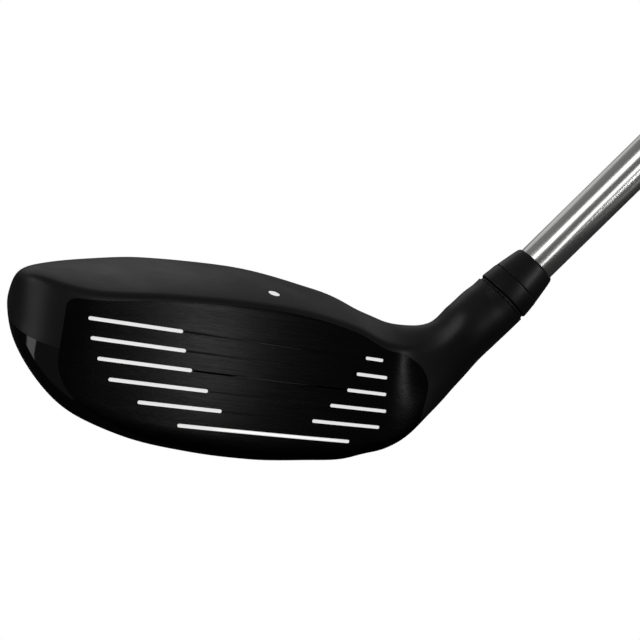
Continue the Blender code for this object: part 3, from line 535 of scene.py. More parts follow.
def node(tree, kind, settings=None, **sockets):
    """A node with its settings and its inputs, by value or by link."""
    made = tree.nodes.new(kind)
    for key, value in (settings or {}).items():
        setattr(made, key, value)
    for key, value in sockets.items():
        socket = made.inputs[int(key[1:])] if key[0] == "n" and key[1:].isdigit() else made.inputs[
            key.replace("_", " ")
        ]
        if isinstance(value, bpy.types.NodeSocket):
            tree.links.new(value, socket)
        else:
            socket.default_value = value
    return made


def maths(tree, operation, *values):
    settings = {"operation": operation}
    return node(tree, "ShaderNodeMath", settings, **{f"n{i}": v for i, v in enumerate(values)}).outputs[0]


# Orange peel and grain of a sprayed finish
spray, spray_in, spray_out = shader_group(
    "spray_texture",
    (("Grain per metre", "NodeSocketFloat", 3500.0), ("Peel per metre", "NodeSocketFloat", 500.0),
     ("Peel share", "NodeSocketFloat", 0.4)),
    ("Height", "Patches"),
)
where = node(spray, "ShaderNodeTexCoord").outputs["Object"]
grain = node(spray, "ShaderNodeTexNoise", Vector=where, Scale=spray_in.outputs[0], Detail=2.0, Roughness=0.6)
peel = node(spray, "ShaderNodeTexNoise", Vector=where, Scale=spray_in.outputs[1], Detail=1.0)
patch = node(spray, "ShaderNodeTexNoise", Vector=where, Scale=45.0, Detail=4.0, Roughness=0.65)
spray.links.new(
    node(spray, "ShaderNodeMix", n0=spray_in.outputs[2], n2=grain.outputs[0], n3=peel.outputs[0]).outputs[0],
    spray_out.inputs[0],
)
spray.links.new(patch.outputs[0], spray_out.inputs[1])

# Fine parallel marks left by a brush or a belt
brushing, brush_in, brush_out = shader_group(
    "brush_marks",
    (
        ("Vector", "NodeSocketVector", (0, 0, 0)),
        ("Along per metre", "NodeSocketVector", (60.0, 5200.0, 5200.0)),
    ),
    ("Marks", "Bands"),
)
stretched = node(
    brushing,
    "ShaderNodeVectorMath",
    {"operation": "MULTIPLY"},
    n0=brush_in.outputs[0],
    n1=brush_in.outputs[1],
).outputs[0]
fine_marks = node(brushing, "ShaderNodeTexNoise", Vector=stretched, Scale=1.0, Detail=5.0, Roughness=0.7)
broad = node(
    brushing, "ShaderNodeVectorMath", {"operation": "SCALE"}, n0=stretched
)
broad.inputs["Scale"].default_value = 0.16
broad_marks = node(brushing, "ShaderNodeTexNoise", Vector=broad.outputs[0], Scale=1.0, Detail=3.0)
brushing.links.new(fine_marks.outputs[0], brush_out.inputs[0])
brushing.links.new(broad_marks.outputs[0], brush_out.inputs[1])


def finish(name, colour, roughness, metallic=0.0, coat=0.0, specular=0.5):
    """A new material, its node tree and its Principled shader."""
    mat = bpy.data.materials.new(name)
    mat.use_nodes = True
    tree = mat.node_tree
    shader = tree.nodes["Principled BSDF"]
    shader.inputs["Base Color"].default_value = (*colour, 1.0)
    shader.inputs["Roughness"].default_value = roughness
    shader.inputs["Metallic"].default_value = metallic
    shader.inputs["Coat Weight"].default_value = coat
    shader.inputs["Coat Roughness"].default_value = 0.05
    shader.inputs["Specular IOR Level"].default_value = specular
    return mat, tree, shader


def grouped(tree, group, **sockets):
    made = tree.nodes.new("ShaderNodeGroup")
    made.node_tree = group
    for key, value in sockets.items():
        socket = made.inputs[key.replace("_", " ")]
        if isinstance(value, bpy.types.NodeSocket):
            tree.links.new(value, socket)
        else:
            socket.default_value = value
    return made


def ranged(tree, value, low, high, from_low=0.0, from_high=1.0, smooth=False):
    """The value's range mapped onto another one."""
    made = node(tree, "ShaderNodeMapRange", {"interpolation_type": "SMOOTHSTEP" if smooth else "LINEAR"})
    tree.links.new(value, made.inputs["Value"])
    for key, number in (("From Min", from_low), ("From Max", from_high), ("To Min", low), ("To Max", high)):
        made.inputs[key].default_value = number
    return made.outputs[0]


def blended(tree, factor, first, second):
    """Two colours mixed by a factor."""
    made = node(tree, "ShaderNodeMix", {"data_type": "RGBA"})
    for index, value in ((0, factor), (6, first), (7, second)):
        if isinstance(value, bpy.types.NodeSocket):
            tree.links.new(value, made.inputs[index])
        else:
            made.inputs[index].default_value = (*value, 1.0) if isinstance(value, tuple) else value
    return made.outputs[2]


def bumped(tree, shader, height, distance, strength=1.0):
    """Feeds a height into the shader's normal, its distance in millimetres."""
    bump = node(tree, "ShaderNodeBump", Strength=strength, Distance=distance * MM, Height=height)
    tree.links.new(bump.outputs[0], shader.inputs["Normal"])


SATIN_BLACK = (0.0060, 0.0064, 0.0060)
GLOSS_BLACK = (0.0012, 0.0012, 0.0012)
PAINT_LINE_TOE = 17.4  # height of the masked edge at the toe
PAINT_LINE_MIDDLE = 9.0
PAINT_LINE_HEEL = 2.0

paint, tree, shader = finish("satin_and_gloss_black", SATIN_BLACK, 0.44)
texture = grouped(tree, spray)
split = node(tree, "ShaderNodeSeparateXYZ", Vector=node(tree, "ShaderNodeTexCoord").outputs["Object"])
line_toe = ranged(
    tree, split.outputs[0], PAINT_LINE_TOE * MM, PAINT_LINE_MIDDLE * MM, -40 * MM, 0.0, smooth=True
)
line_heel = ranged(
    tree, split.outputs[0], 0.0, (PAINT_LINE_HEEL - PAINT_LINE_MIDDLE) * MM, 0.0, 40 * MM, smooth=True
)
below = maths(tree, "SUBTRACT", maths(tree, "ADD", line_toe, line_heel), split.outputs[2])
gloss = ranged(tree, below, 0.0, 1.0, -0.04 * MM, 0.04 * MM)
speckle = ranged(tree, texture.outputs["Patches"], 0.85, 1.2, 0.3, 0.7)
satin = blended(tree, texture.outputs["Patches"], (0.0052, 0.0056, 0.0052), (0.0070, 0.0075, 0.0070))
tree.links.new(blended(tree, gloss, satin, GLOSS_BLACK), shader.inputs["Base Color"])
rough = maths(tree, "MULTIPLY", speckle, 0.42)
tree.links.new(
    node(tree, "ShaderNodeMix", n0=gloss, n2=rough, n3=0.07).outputs[0], shader.inputs["Roughness"]
)
bumped(
    tree,
    shader,
    maths(tree, "MULTIPLY", texture.outputs["Height"], ranged(tree, gloss, 1.0, 0.12)),
    0.012,
)
head_shell.data.materials.clear()
head_shell.data.materials.append(paint)
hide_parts("head_body", "crown_plate")
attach(head_shell, "head")

# ---------------------------------------------------------------- the face insert
# A maraging steel plate, milled to its bulge and roll and welded to the body. It is brushed
# from heel to toe and given a thin black coating, and its scoring lines are engraved.

GROOVE_WIDTH = 0.78
GROOVE_DEPTH = 0.36
HAIRLINE_WIDTH = 0.4
HAIRLINE_DEPTH = 0.3
GROOVE_TOP = 10.63  # first line above the face's centre, up the face
GROOVE_PITCH = 3.9
# Each line as its painted stretches, toe side and heel side
PAINTED = (
    ((-37.0, -17.6), (26.8, 31.9)),
    ((-36.0, -16.4), (24.9, 33.7)),
    ((-34.1, -14.5), (23.0, 34.1)),
    ((-31.3, -10.4), (19.1, 34.8)),
    ((-24.8, -6.7), (15.1, 33.5)),
    ((-15.8, 25.7),),
)


def face_sag(x, up):
    return x * x / (2 * BULGE_RADIUS) + up * up / (2 * ROLL_RADIUS)


def score_line(bm, toe, heel, up, width, low, high, crown=0.0):
    """Adds one round-ended bar to the bmesh, between two depths that follow the face."""
    radius = width / 2
    outline = []
    for i in range(13):
        angle = math.pi / 2 + math.pi * i / 12
        outline.append((toe + radius + radius * math.cos(angle), up + radius * math.sin(angle)))
    steps = max(6, round((heel - toe) / 1.5))
    run = [mix(toe + radius, heel - radius, i / steps) for i in range(1, steps)]
    outline += [(x, up - radius) for x in run]
    for i in range(13):
        angle = -math.pi / 2 + math.pi * i / 12
        outline.append((heel - radius + radius * math.cos(angle), up + radius * math.sin(angle)))
    outline += [(x, up + radius) for x in reversed(run)]
    levels = []
    for depth, inward in ((low, 0.0), (high - crown, 0.0), (high, min(0.12, radius * 0.4) if crown else 0.0)):
        ring = []
        for x, v in outline:
            middle = min(max(x, toe + radius), heel - radius)
            shrink = 1 - inward / radius
            px, pv = middle + (x - middle) * shrink, up + (v - up) * shrink
            ring.append(bm.verts.new(Vector((px, pv, -face_sag(px, pv) - depth)) * MM))
        levels.append(ring)
        if not crown and len(levels) == 2:
            break
    bridge_rings(bm, levels)
    bm.faces.new(levels[0])
    bm.faces.new(levels[-1])


slots = bmesh.new()
hairlines = bmesh.new()
for row, stretches in enumerate(PAINTED):
    up = GROOVE_TOP - row * GROOVE_PITCH
    for toe, heel in stretches:
        score_line(slots, toe, heel, up, GROOVE_WIDTH, GROOVE_DEPTH, -1.0)
    if len(stretches) == 2:
        score_line(
            hairlines,
            stretches[0][1] + 0.15,
            stretches[1][0] - 0.15,
            up,
            HAIRLINE_WIDTH,
            HAIRLINE_DEPTH,
            -0.8,
        )
face_insert = machined(
    head_loft("face_insert"),
    [
        ("INTERSECT", face_block("insert_blank")),
        ("DIFFERENCE", head_loft("insert_back", SKIN)),
        ("DIFFERENCE", piece("scoring", slots, face_place)),
        ("DIFFERENCE", piece("hairlines", hairlines, face_place)),
    ],
)
FACE_BLACK = (0.013, 0.013, 0.013)
coated, tree, shader = finish("brushed_black_face", FACE_BLACK, 0.3, metallic=1.0)
turned_coords = node(
    tree, "ShaderNodeMapping", Vector=node(tree, "ShaderNodeTexCoord").outputs["Object"]
)
turned_coords.inputs["Rotation"].default_value = (LOFT - math.pi / 2, 0.0, 0.0)
marks = grouped(tree, brushing, Vector=turned_coords.outputs[0])
tree.links.new(
    blended(tree, marks.outputs["Bands"], (0.010, 0.010, 0.010), (0.018, 0.018, 0.018)),
    shader.inputs["Base Color"],
)
tree.links.new(ranged(tree, marks.outputs["Marks"], 0.18, 0.32, 0.3, 0.7), shader.inputs["Roughness"])
bumped(tree, shader, marks.outputs["Marks"], 0.012)
face_insert.data.materials.clear()
face_insert.data.materials.append(coated)
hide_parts("face_plate")
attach(face_insert, "head")

# ---------------------------------------------------------------- the scoring lines' paint
# White enamel wiped into the outer stretches of each line, so that they frame the ball, and
#  a small white dot on the crown just behind the top line to aim over. The enamel also has a
#  faint white glow of its own, a painted brightness that no lamp gives.

ENAMEL_BELOW_FACE = 0.02
DOT_RADIUS = 1.3
DOT_X = 4.1
DOT_Y = 14.9

enamel_with_glow, tree, shader = finish("white_enamel_painted_glow", (0.86, 0.86, 0.85), 0.42)
texture = grouped(tree, spray, Grain_per_metre=9000.0)
tree.links.new(
    blended(tree, texture.outputs["Height"], (0.80, 0.80, 0.79), (0.92, 0.92, 0.91)),
    shader.inputs["Base Color"],
)
# Painted glow: the enamel gives off a faint white light, so it reads brighter than its lighting makes it.
shader.inputs["Emission Color"].default_value = (1.0, 1.0, 1.0, 1.0)
shader.inputs["Emission Strength"].default_value = 0.6
bumped(tree, shader, texture.outputs["Height"], 0.01)
bm = bmesh.new()
for row, stretches in enumerate(PAINTED):
    up = GROOVE_TOP - row * GROOVE_PITCH
    for toe, heel in stretches:
        score_line(
            bm, toe + 0.02, heel - 0.02, up, GROOVE_WIDTH - 0.04, GROOVE_DEPTH - 0.02, ENAMEL_BELOW_FACE, 0.05
        )
line_paint = piece("line_paint", bm, face_place)
line_paint.data.materials.append(enamel_with_glow)
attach(line_paint, "head")

skin = BVHTree.FromObject(head_shell, bpy.context.evaluated_depsgraph_get())
bm = bmesh.new()
rings = []
for level, share in ((-0.2, 1.0), (0.0, 1.0), (0.03, 0.93), (0.035, 0.6), (0.035, 0.3), (0.035, 0.0)):
    ring = []
    for i in range(48 if share else 1):
        angle = 2 * math.pi * i / 48
        x = DOT_X + share * DOT_RADIUS * math.cos(angle)
        y = DOT_Y + share * DOT_RADIUS * math.sin(angle)
        hit = skin.ray_cast(Vector((x, y, 60.0)) * MM, Vector((0, 0, -1)))[0]
        ring.append(bm.verts.new((x * MM, y * MM, hit.z + level * MM)))
    rings.append(ring)
bridge_rings(bm, rings)
bm.faces.new(rings[0])
crown_dot = piece("crown_dot", bm, head_place)
crown_dot.data.materials.append(enamel_with_glow)
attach(crown_dot, "head")

# ---------------------------------------------------------------- the sole insert
# A stamped steel plate let into the sole and lacquered gloss black with the skirt round it.

WEIGHT_RADIUS = 7.0
PORT_OUTSIDE = WEIGHT_RADIUS + 0.3 + 1.2
weight_at = Vector(joints["weight_screw_turn"]["pos_m"])
weight_out = Vector(joints["weight_screw_turn"]["axis"])
weight_place = Matrix.Translation(weight_at) @ weight_out.to_track_quat("Z", "Y").to_matrix().to_4x4()

sole_insert = machined(
    head_loft("sole_insert"),
    [
        ("INTERSECT", sole_block("sole_blank", *sole_shape)),
        ("DIFFERENCE", head_loft("sole_over", 1.6, 0.5, COARSE)),
        (
            "DIFFERENCE",
            lathe(
                "port_hole",
                [(-12, 0), (-12, PORT_OUTSIDE + SEAM), (6, PORT_OUTSIDE + SEAM), (6, 0)],
                weight_place,
            ),
        ),
    ],
)
lacquer, tree, shader = finish("gloss_black_sole", GLOSS_BLACK, 0.07, coat=0.4)
texture = grouped(tree, spray, Grain_per_metre=1500.0, Peel_per_metre=280.0, Peel_share=0.85)
tree.links.new(
    blended(tree, texture.outputs["Patches"], (0.003, 0.003, 0.0032), (0.0055, 0.0055, 0.0058)),
    shader.inputs["Base Color"],
)
tree.links.new(ranged(tree, texture.outputs["Patches"], 0.05, 0.13), shader.inputs["Roughness"])
bumped(tree, shader, texture.outputs["Height"], 0.003)
sole_insert.data.materials.clear()
sole_insert.data.materials.append(lacquer)
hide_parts("sole_plate")
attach(sole_insert, "head")

# ---------------------------------------------------------------- the rear weight
# A turned steel weight in a machined port. A captive star-socket screw holds it and a rubber
# washer under it takes up the play. The weight's face is turned in fine rings.


def softened(profile, size):
    """The profile with its corners rounded, each by at most a third of its shorter side."""
    soft = [profile[0]]
    for before, here, after in zip(profile, profile[1:], profile[2:]):
        if callable(here[1]) or callable(before[1]) or callable(after[1]):
            soft.append(here)
            continue
        corner = Vector(here)
        back, ahead = Vector(before) - corner, Vector(after) - corner
        if back.length < 1e-6 or ahead.length < 1e-6 or abs(back.angle(ahead) - math.pi) < 0.15:
            soft.append(here)
            continue
        reach = min(size, back.length / 3, ahead.length / 3)
        start, end = corner + reach * back.normalized(), corner + reach * ahead.normalized()
        soft += [tuple(bezier((start, corner, end), t)) for t in (0.0, 0.33, 0.67, 1.0)]
    soft.append(profile[-1])
    return soft


def star(radius, depth, lobes=6):
    """Radius by angle of a star-shaped socket."""
    return lambda angle: radius - depth * (0.5 - 0.5 * math.cos(lobes * angle))


def turned_finish(name, dark, light, roughness):
    """Bare or blackened metal with the fine rings that a lathe tool leaves."""
    mat, tree, shader = finish(name, dark, roughness, metallic=1.0)
    split = node(tree, "ShaderNodeSeparateXYZ", Vector=node(tree, "ShaderNodeTexCoord").outputs["Object"])
    square = maths(
        tree,
        "ADD",
        maths(tree, "MULTIPLY", split.outputs[0], split.outputs[0]),
        maths(tree, "MULTIPLY", split.outputs[1], split.outputs[1]),
    )
    place = node(tree, "ShaderNodeCombineXYZ", X=maths(tree, "SQRT", square), Y=split.outputs[2])
    rings = node(
        tree, "ShaderNodeTexNoise", Vector=place.outputs[0], Scale=9000.0, Detail=2.0, Roughness=0.5
    )
    tree.links.new(blended(tree, rings.outputs[0], dark, light), shader.inputs["Base Color"])
    tree.links.new(
        ranged(tree, rings.outputs[0], roughness - 0.07, roughness + 0.1, 0.3, 0.7),
        shader.inputs["Roughness"],
    )
    bumped(tree, shader, rings.outputs[0], 0.008)
    return mat


PORT_FLOOR = -6.0
WEIGHT_TOP = -0.5
WEIGHT_SEAT = -2.75
SCREW_HEAD = 3.6
bare_steel = turned_finish("turned_steel", (0.36, 0.36, 0.37), (0.50, 0.50, 0.51), 0.3)
port_steel = turned_finish("machined_port", (0.18, 0.18, 0.19), (0.29, 0.29, 0.30), 0.38)
black_oxide = turned_finish("black_oxide", (0.028, 0.028, 0.030), (0.055, 0.055, 0.058), 0.34)

port = lathe(
    "port_cup",
    softened(
        [
            (-11.0, 2.6), (PORT_FLOOR, 2.6), (PORT_FLOOR, WEIGHT_RADIUS + 0.3), (-0.4, WEIGHT_RADIUS + 0.3),
            (-0.4, PORT_OUTSIDE), (-7.4, PORT_OUTSIDE), (-7.4, 4.2), (-11.0, 4.2),
        ],
        0.2,
    ),
    weight_place,
    closed=True,
)
port.data.materials.append(port_steel)
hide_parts("weight_port")
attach(port, "head")

weight = lathe(
    "turned_weight",
    softened(
        [
            (-5.0, 2.6), (WEIGHT_SEAT, 2.6), (WEIGHT_SEAT, SCREW_HEAD + 0.3), (WEIGHT_TOP, SCREW_HEAD + 0.3),
            (WEIGHT_TOP, 4.9), (WEIGHT_TOP - 0.25, 5.1), (WEIGHT_TOP - 0.25, 5.6), (WEIGHT_TOP, 5.8),
            (WEIGHT_TOP, WEIGHT_RADIUS - 0.35), (WEIGHT_TOP - 0.35, WEIGHT_RADIUS), (-5.0, WEIGHT_RADIUS),
        ],
        0.12,
    ),
    weight_place,
    segments=128,
    closed=True,
)
weight.data.materials.append(bare_steel)
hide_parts("rear_weight")
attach(weight, "weight")

socket = star(1.9, 0.45)
weight_bolt = lathe(
    "star_bolt",
    softened(
        [
            (WEIGHT_TOP - 1.5, 0), (WEIGHT_TOP - 1.3, star(1.6, 0.4)), (WEIGHT_TOP - 0.15, socket),
            (WEIGHT_TOP, star(2.05, 0.42)), (WEIGHT_TOP, SCREW_HEAD - 0.25), (WEIGHT_TOP - 0.25, SCREW_HEAD),
            (WEIGHT_SEAT + 0.2, SCREW_HEAD), (WEIGHT_SEAT + 0.2, 2.4), (-10.2, 2.4), (-10.7, 1.9), (-10.7, 0),
        ],
        0.1,
    ),
    weight_place,
)
weight_bolt.data.materials.append(black_oxide)
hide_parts("weight_screw")
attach(weight_bolt, "weight_bolt")

rubber, tree, shader = finish("washer_rubber", (0.02, 0.02, 0.02), 0.78)
texture = grouped(tree, spray, Grain_per_metre=5000.0, Peel_share=0.2)
tree.links.new(
    blended(tree, texture.outputs["Height"], (0.014, 0.014, 0.014), (0.03, 0.03, 0.03)),
    shader.inputs["Base Color"],
)
bumped(tree, shader, texture.outputs["Height"], 0.03)
frame["nodes"]["weight_damper"].data.materials.clear()
frame["nodes"]["weight_damper"].data.materials.append(rubber)

# ---------------------------------------------------------------- the sleeve, its ring and ferrule
# An aluminium sleeve, black anodised, glued to the shaft's tip. Its splines set the loft and
# lie. A thin polymer ring keeps it off the hosel's rim, and a turned ferrule trims its top.

RING_LOW = 50.7
FLANGE_LOW = 51.4
SLEEVE_LOW = 24.0
SLEEVE_TOP = 55.8
THREAD_END = 35.0
SHAFT_FLOOR = 37.5
SLEEVE_RADIUS = 5.3
SPLINE_TOP = 49.5
SPLINE_LOW = 44.0
SHAFT_TIP_RADIUS = 4.7
SHAFT_BORE = SHAFT_TIP_RADIUS + 0.2
FERRULE_LENGTH = 6.3

tooth = teeth(SPLINE_ROOT, SPLINE_TIP, SPLINES, 0.5)
sleeve = lathe(
    "splined_sleeve",
    softened(
        [
            (THREAD_END, 0), (THREAD_END, 2.6), (SLEEVE_LOW, 2.6), (SLEEVE_LOW, 4.8),
            (SLEEVE_LOW + 0.6, SLEEVE_RADIUS),
            (SPLINE_LOW, SLEEVE_RADIUS), (SPLINE_LOW + 0.25, tooth), (SPLINE_TOP - 0.2, tooth),
            (SPLINE_TOP, SPLINE_ROOT - 0.02), (SPLINE_TOP, 5.6), (FLANGE_LOW, 5.6),
            (FLANGE_LOW, HOSEL_RADIUS - 0.2),
            (FLANGE_LOW + 0.2, HOSEL_RADIUS), (SLEEVE_TOP - 0.5, 6.62), (SLEEVE_TOP, 6.5),
            (SLEEVE_TOP, SHAFT_BORE), (SHAFT_FLOOR, SHAFT_BORE), (SHAFT_FLOOR, 0),
        ],
        0.14,
    ),
    axis_place,
    segments=144,
)
anodised, tree, shader = finish("black_anodised", (0.008, 0.0082, 0.0085), 0.4, metallic=0.2)
texture = grouped(tree, spray, Grain_per_metre=6500.0, Peel_share=0.15)
tree.links.new(
    blended(tree, texture.outputs["Patches"], (0.0065, 0.0067, 0.007), (0.0095, 0.0098, 0.0102)),
    shader.inputs["Base Color"],
)
tree.links.new(ranged(tree, texture.outputs["Height"], 0.34, 0.5, 0.3, 0.7), shader.inputs["Roughness"])
bumped(tree, shader, texture.outputs["Height"], 0.01)
sleeve.data.materials.append(anodised)
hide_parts("hosel_sleeve")
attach(sleeve, "club_shaft")

# A small triangle printed on the flange points at the notch in use.
POINTER_MIDDLE = FLANGE_LOW + 2.1
POINTER_ANGLE = math.radians(-37)  # round from the heel side
POINTER_CORNERS = (Vector((0.0, -1.1)), Vector((0.95, 0.65)), Vector((-0.95, 0.65)))
SIDE_STEPS = 8

bm = bmesh.new()
rings = []
for share, lift in ((1.0, -0.1), (1.0, 0.03), (0.72, 0.03), (0.72, -0.1)):
    ring = []
    for corner in range(3):
        for step in range(SIDE_STEPS):
            on_side = POINTER_CORNERS[corner].lerp(POINTER_CORNERS[(corner + 1) % 3], step / SIDE_STEPS)
            across, up = share * on_side
            z = POINTER_MIDDLE + up
            r = mix(HOSEL_RADIUS, 6.62, (z - FLANGE_LOW - 0.2) / (SLEEVE_TOP - FLANGE_LOW - 0.7)) + lift
            angle = POINTER_ANGLE + across / r
            ring.append(bm.verts.new(Vector((r * math.cos(angle), r * math.sin(angle), z)) * MM))
    rings.append(ring)
bridge_rings(bm, rings, closed=True)
pointer = piece("sleeve_pointer", bm, axis_place)
print_paint, tree, shader = finish("grey_print", (0.13, 0.13, 0.13), 0.5)
texture = grouped(tree, spray, Grain_per_metre=6500.0, Peel_share=0.15)
tree.links.new(
    blended(tree, texture.outputs["Patches"], (0.10, 0.10, 0.10), (0.16, 0.16, 0.16)),
    shader.inputs["Base Color"],
)
pointer.data.materials.append(print_paint)
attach(pointer, "club_shaft")

ring = lathe(
    "notched_ring",
    [
        (RING_LOW, 5.9), (RING_LOW, teeth(6.62, 6.3, 24, 0.18, 0.1)),
        (RING_LOW + 0.25, teeth(6.62, 6.3, 24, 0.18, 0.1)),
        (RING_LOW + 0.3, 6.6), (RING_LOW + 0.5, 6.55), (RING_LOW + 0.5, 5.9),
    ],
    axis_place,
    segments=240,
    closed=True,
)
polymer, tree, shader = finish("moulded_polymer", (0.009, 0.009, 0.009), 0.55)
texture = grouped(tree, spray, Grain_per_metre=4200.0, Peel_share=0.3)
tree.links.new(
    blended(tree, texture.outputs["Height"], (0.007, 0.007, 0.007), (0.013, 0.013, 0.013)),
    shader.inputs["Base Color"],
)
bumped(tree, shader, texture.outputs["Height"], 0.012)
ring.data.materials.append(polymer)
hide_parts("spacer_ring")
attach(ring, "spacer")

FERRULE_LOW = SLEEVE_TOP + 0.08
FERRULE_TOP = SLEEVE_TOP + 0.2 + FERRULE_LENGTH
ferrule = lathe(
    "turned_ferrule",
    softened(
        [
            (FERRULE_LOW, SHAFT_BORE), (FERRULE_LOW, 6.4), (FERRULE_LOW + 0.12, 6.46),
            (FERRULE_LOW + 1.6, 6.22),
            (FERRULE_LOW + 4.7, 5.66), (FERRULE_TOP - 0.45, 5.38), (FERRULE_TOP, 5.1),
            (FERRULE_TOP, SHAFT_BORE),
        ],
        0.15,
    ),
    axis_place,
    closed=True,
)
celluloid, tree, shader = finish("satin_ferrule", (0.008, 0.008, 0.0083), 0.36)
split = node(tree, "ShaderNodeSeparateXYZ", Vector=node(tree, "ShaderNodeTexCoord").outputs["Object"])
buffing = node(tree, "ShaderNodeTexNoise", {"noise_dimensions": "1D"}, Scale=5200.0, Detail=2.0)
tree.links.new(split.outputs[2], buffing.inputs["W"])
tree.links.new(
    blended(tree, buffing.outputs[0], (0.0065, 0.0066, 0.007), (0.0098, 0.01, 0.0104)),
    shader.inputs["Base Color"],
)
tree.links.new(ranged(tree, buffing.outputs[0], 0.3, 0.46, 0.3, 0.7), shader.inputs["Roughness"])
bumped(tree, shader, buffing.outputs[0], 0.008)
ferrule.data.materials.append(celluloid)
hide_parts("ferrule")
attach(ferrule, "club_shaft")

# ---------------------------------------------------------------- the hosel's screw
# A blackened steel screw with a star socket, reached through the port in the heel. A steel
# washer carries it on the shelf and a spring clip keeps it captive when the head is off.

head_high = 17.9
hosel_screw = lathe(
    "star_screw",
    softened(
        [
            (16.3, 0), (16.1, star(2.0, 0.5)), (14.05, star(2.3, 0.55)), (13.9, star(2.45, 0.5)), (13.9, 4.0),
            (14.2, 4.3), (head_high, 4.3), (head_high, 2.4), (21.6, 2.4), (21.6, 1.9), (22.4, 1.9),
            (22.4, 2.4),
            (33.5, 2.4), (34.1, 1.8), (34.1, 0),
        ],
        0.12,
    ),
    axis_place,
)
hosel_screw.data.materials.append(black_oxide)
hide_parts("hosel_screw")
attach(hosel_screw, "sleeve_screw")

# ---------------------------------------------------------------- the shaft
# A tapered steel tube, ground, satin chromed and polished lengthways. The tip is parallel
# where the sleeve is glued on, and the taper runs up under the grip.

CLUB_LENGTH = 1029.0
SHAFT_BUTT_RADIUS = 7.62
SHAFT_WALL = 0.6
TAPER_START = HOSEL_TOP + 150.0
TAPER_END = CLUB_LENGTH - 204.0
SHAFT_END = CLUB_LENGTH - 4.3


def shaft_radius(place):
    return mix(
        SHAFT_TIP_RADIUS,
        SHAFT_BUTT_RADIUS,
        min(1.0, max(0.0, (place - TAPER_START) / (TAPER_END - TAPER_START))),
    )


tip = SHAFT_FLOOR + 0.3
stations = [tip, tip + 0.5, TAPER_START, TAPER_END]
stations += [mix(tip + 0.5, SHAFT_END, i / 24) for i in range(1, 25)]
stations = sorted(stations)
tube = [(z, shaft_radius(z) - (0.3 if z == tip else 0.0)) for z in stations]
tube += [(z, shaft_radius(z) - SHAFT_WALL) for z in reversed(stations)]
shaft = lathe("chromed_shaft", tube, axis_place, segments=128, closed=True)
chrome, tree, shader = finish("satin_chrome", (0.80, 0.80, 0.79), 0.2, metallic=1.0)
marks = grouped(tree, brushing, Vector=node(tree, "ShaderNodeTexCoord").outputs["Object"])
marks.inputs["Along per metre"].default_value = (5200.0, 5200.0, 40.0)
tree.links.new(
    blended(tree, marks.outputs["Marks"], (0.72, 0.72, 0.70), (0.86, 0.86, 0.85)), shader.inputs["Base Color"]
)
tree.links.new(ranged(tree, marks.outputs["Marks"], 0.17, 0.27, 0.3, 0.7), shader.inputs["Roughness"])
bumped(tree, shader, marks.outputs["Marks"], 0.0006)
shaft.data.materials.append(chrome)
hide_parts("shaft")
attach(shaft, "club_shaft")

# ---------------------------------------------------------------- the grip
# A moulded rubber sleeve over paper tape. Its surface is pressed with a diamond lattice
# between plain bands, and its end is closed by a cap with an air vent.

GRIP_LENGTH = 268.0
GRIP_MOUTH = CLUB_LENGTH - GRIP_LENGTH
GRIP_END = CLUB_LENGTH - 4.0
GRIP_BUTT_RADIUS = 13.2
GRIP_CLEAR = 0.65
LATTICE_DEPTH = 0.32
LATTICE_TURNS = 18
LATTICE_PITCH = 4.0
grip_mouth_radius = shaft_radius(GRIP_MOUTH) + GRIP_CLEAR + 1.33
grip_rows = 420
plain_bands = ((0.0, 0.035), (0.24, 0.255), (0.5, 0.515), (0.76, 0.775), (0.965, 1.0))


def grip_outside(share):
    return mix(grip_mouth_radius, GRIP_BUTT_RADIUS, share**1.15)


def lattice(share):
    """Radius by angle of the grip's surface at this share of its length."""
    plain = any(low <= share <= high for low, high in plain_bands)
    surface = grip_outside(share)
    rise = share * GRIP_LENGTH / LATTICE_PITCH * math.pi

    def radius(angle):
        if plain:
            return surface - 0.05
        first = abs(math.sin(angle * LATTICE_TURNS / 2 + rise / 2))
        second = abs(math.sin(angle * LATTICE_TURNS / 2 - rise / 2))
        return surface - LATTICE_DEPTH * (1 - min(1.0, min(first, second) * 2.6))

    return radius


bore_stations = [mix(GRIP_MOUTH, GRIP_END, i / 8) for i in range(9)]
grip_profile = [(z, shaft_radius(z) + GRIP_CLEAR) for z in bore_stations]
grip_profile += [
    (mix(GRIP_END, GRIP_MOUTH + 0.6, i / grip_rows), lattice(1 - i / grip_rows)) for i in range(grip_rows + 1)
]
grip_profile.append((GRIP_MOUTH, grip_mouth_radius - 0.5))
grip = lathe("lattice_grip", grip_profile, axis_place, segments=144, closed=True)
grip_rubber, tree, shader = finish("grip_rubber", (0.013, 0.013, 0.013), 0.72)
texture = grouped(tree, spray, Grain_per_metre=3200.0, Peel_share=0.25)
tree.links.new(
    blended(tree, texture.outputs["Patches"], (0.010, 0.010, 0.010), (0.019, 0.019, 0.019)),
    shader.inputs["Base Color"],
)
tree.links.new(ranged(tree, texture.outputs["Height"], 0.6, 0.85, 0.3, 0.7), shader.inputs["Roughness"])
bumped(tree, shader, texture.outputs["Height"], 0.04)
grip.data.materials.append(grip_rubber)
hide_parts("grip")
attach(grip, "club_shaft")

cap_low = GRIP_END + 0.3
cap = lathe(
    "vented_cap",
    softened(
        [
            (cap_low, 1.8), (cap_low, GRIP_BUTT_RADIUS - 0.05), (cap_low + 1.6, GRIP_BUTT_RADIUS),
            (cap_low + 2.7, GRIP_BUTT_RADIUS - 0.55), (CLUB_LENGTH - 0.05, 11.0), (CLUB_LENGTH - 0.05, 8.2),
            (CLUB_LENGTH - 0.45, 7.9), (CLUB_LENGTH - 0.45, 6.9), (CLUB_LENGTH - 0.05, 6.6),
            (CLUB_LENGTH, 2.1),
            (CLUB_LENGTH - 0.3, 1.8),
        ],
        0.4,
    ),
    axis_place,
    closed=True,
)
cap_rubber, tree, shader = finish("cap_rubber", (0.017, 0.017, 0.017), 0.55)
texture = grouped(tree, spray, Grain_per_metre=2600.0, Peel_share=0.5)
tree.links.new(
    blended(tree, texture.outputs["Patches"], (0.013, 0.013, 0.013), (0.022, 0.022, 0.022)),
    shader.inputs["Base Color"],
)
bumped(tree, shader, texture.outputs["Height"], 0.02)
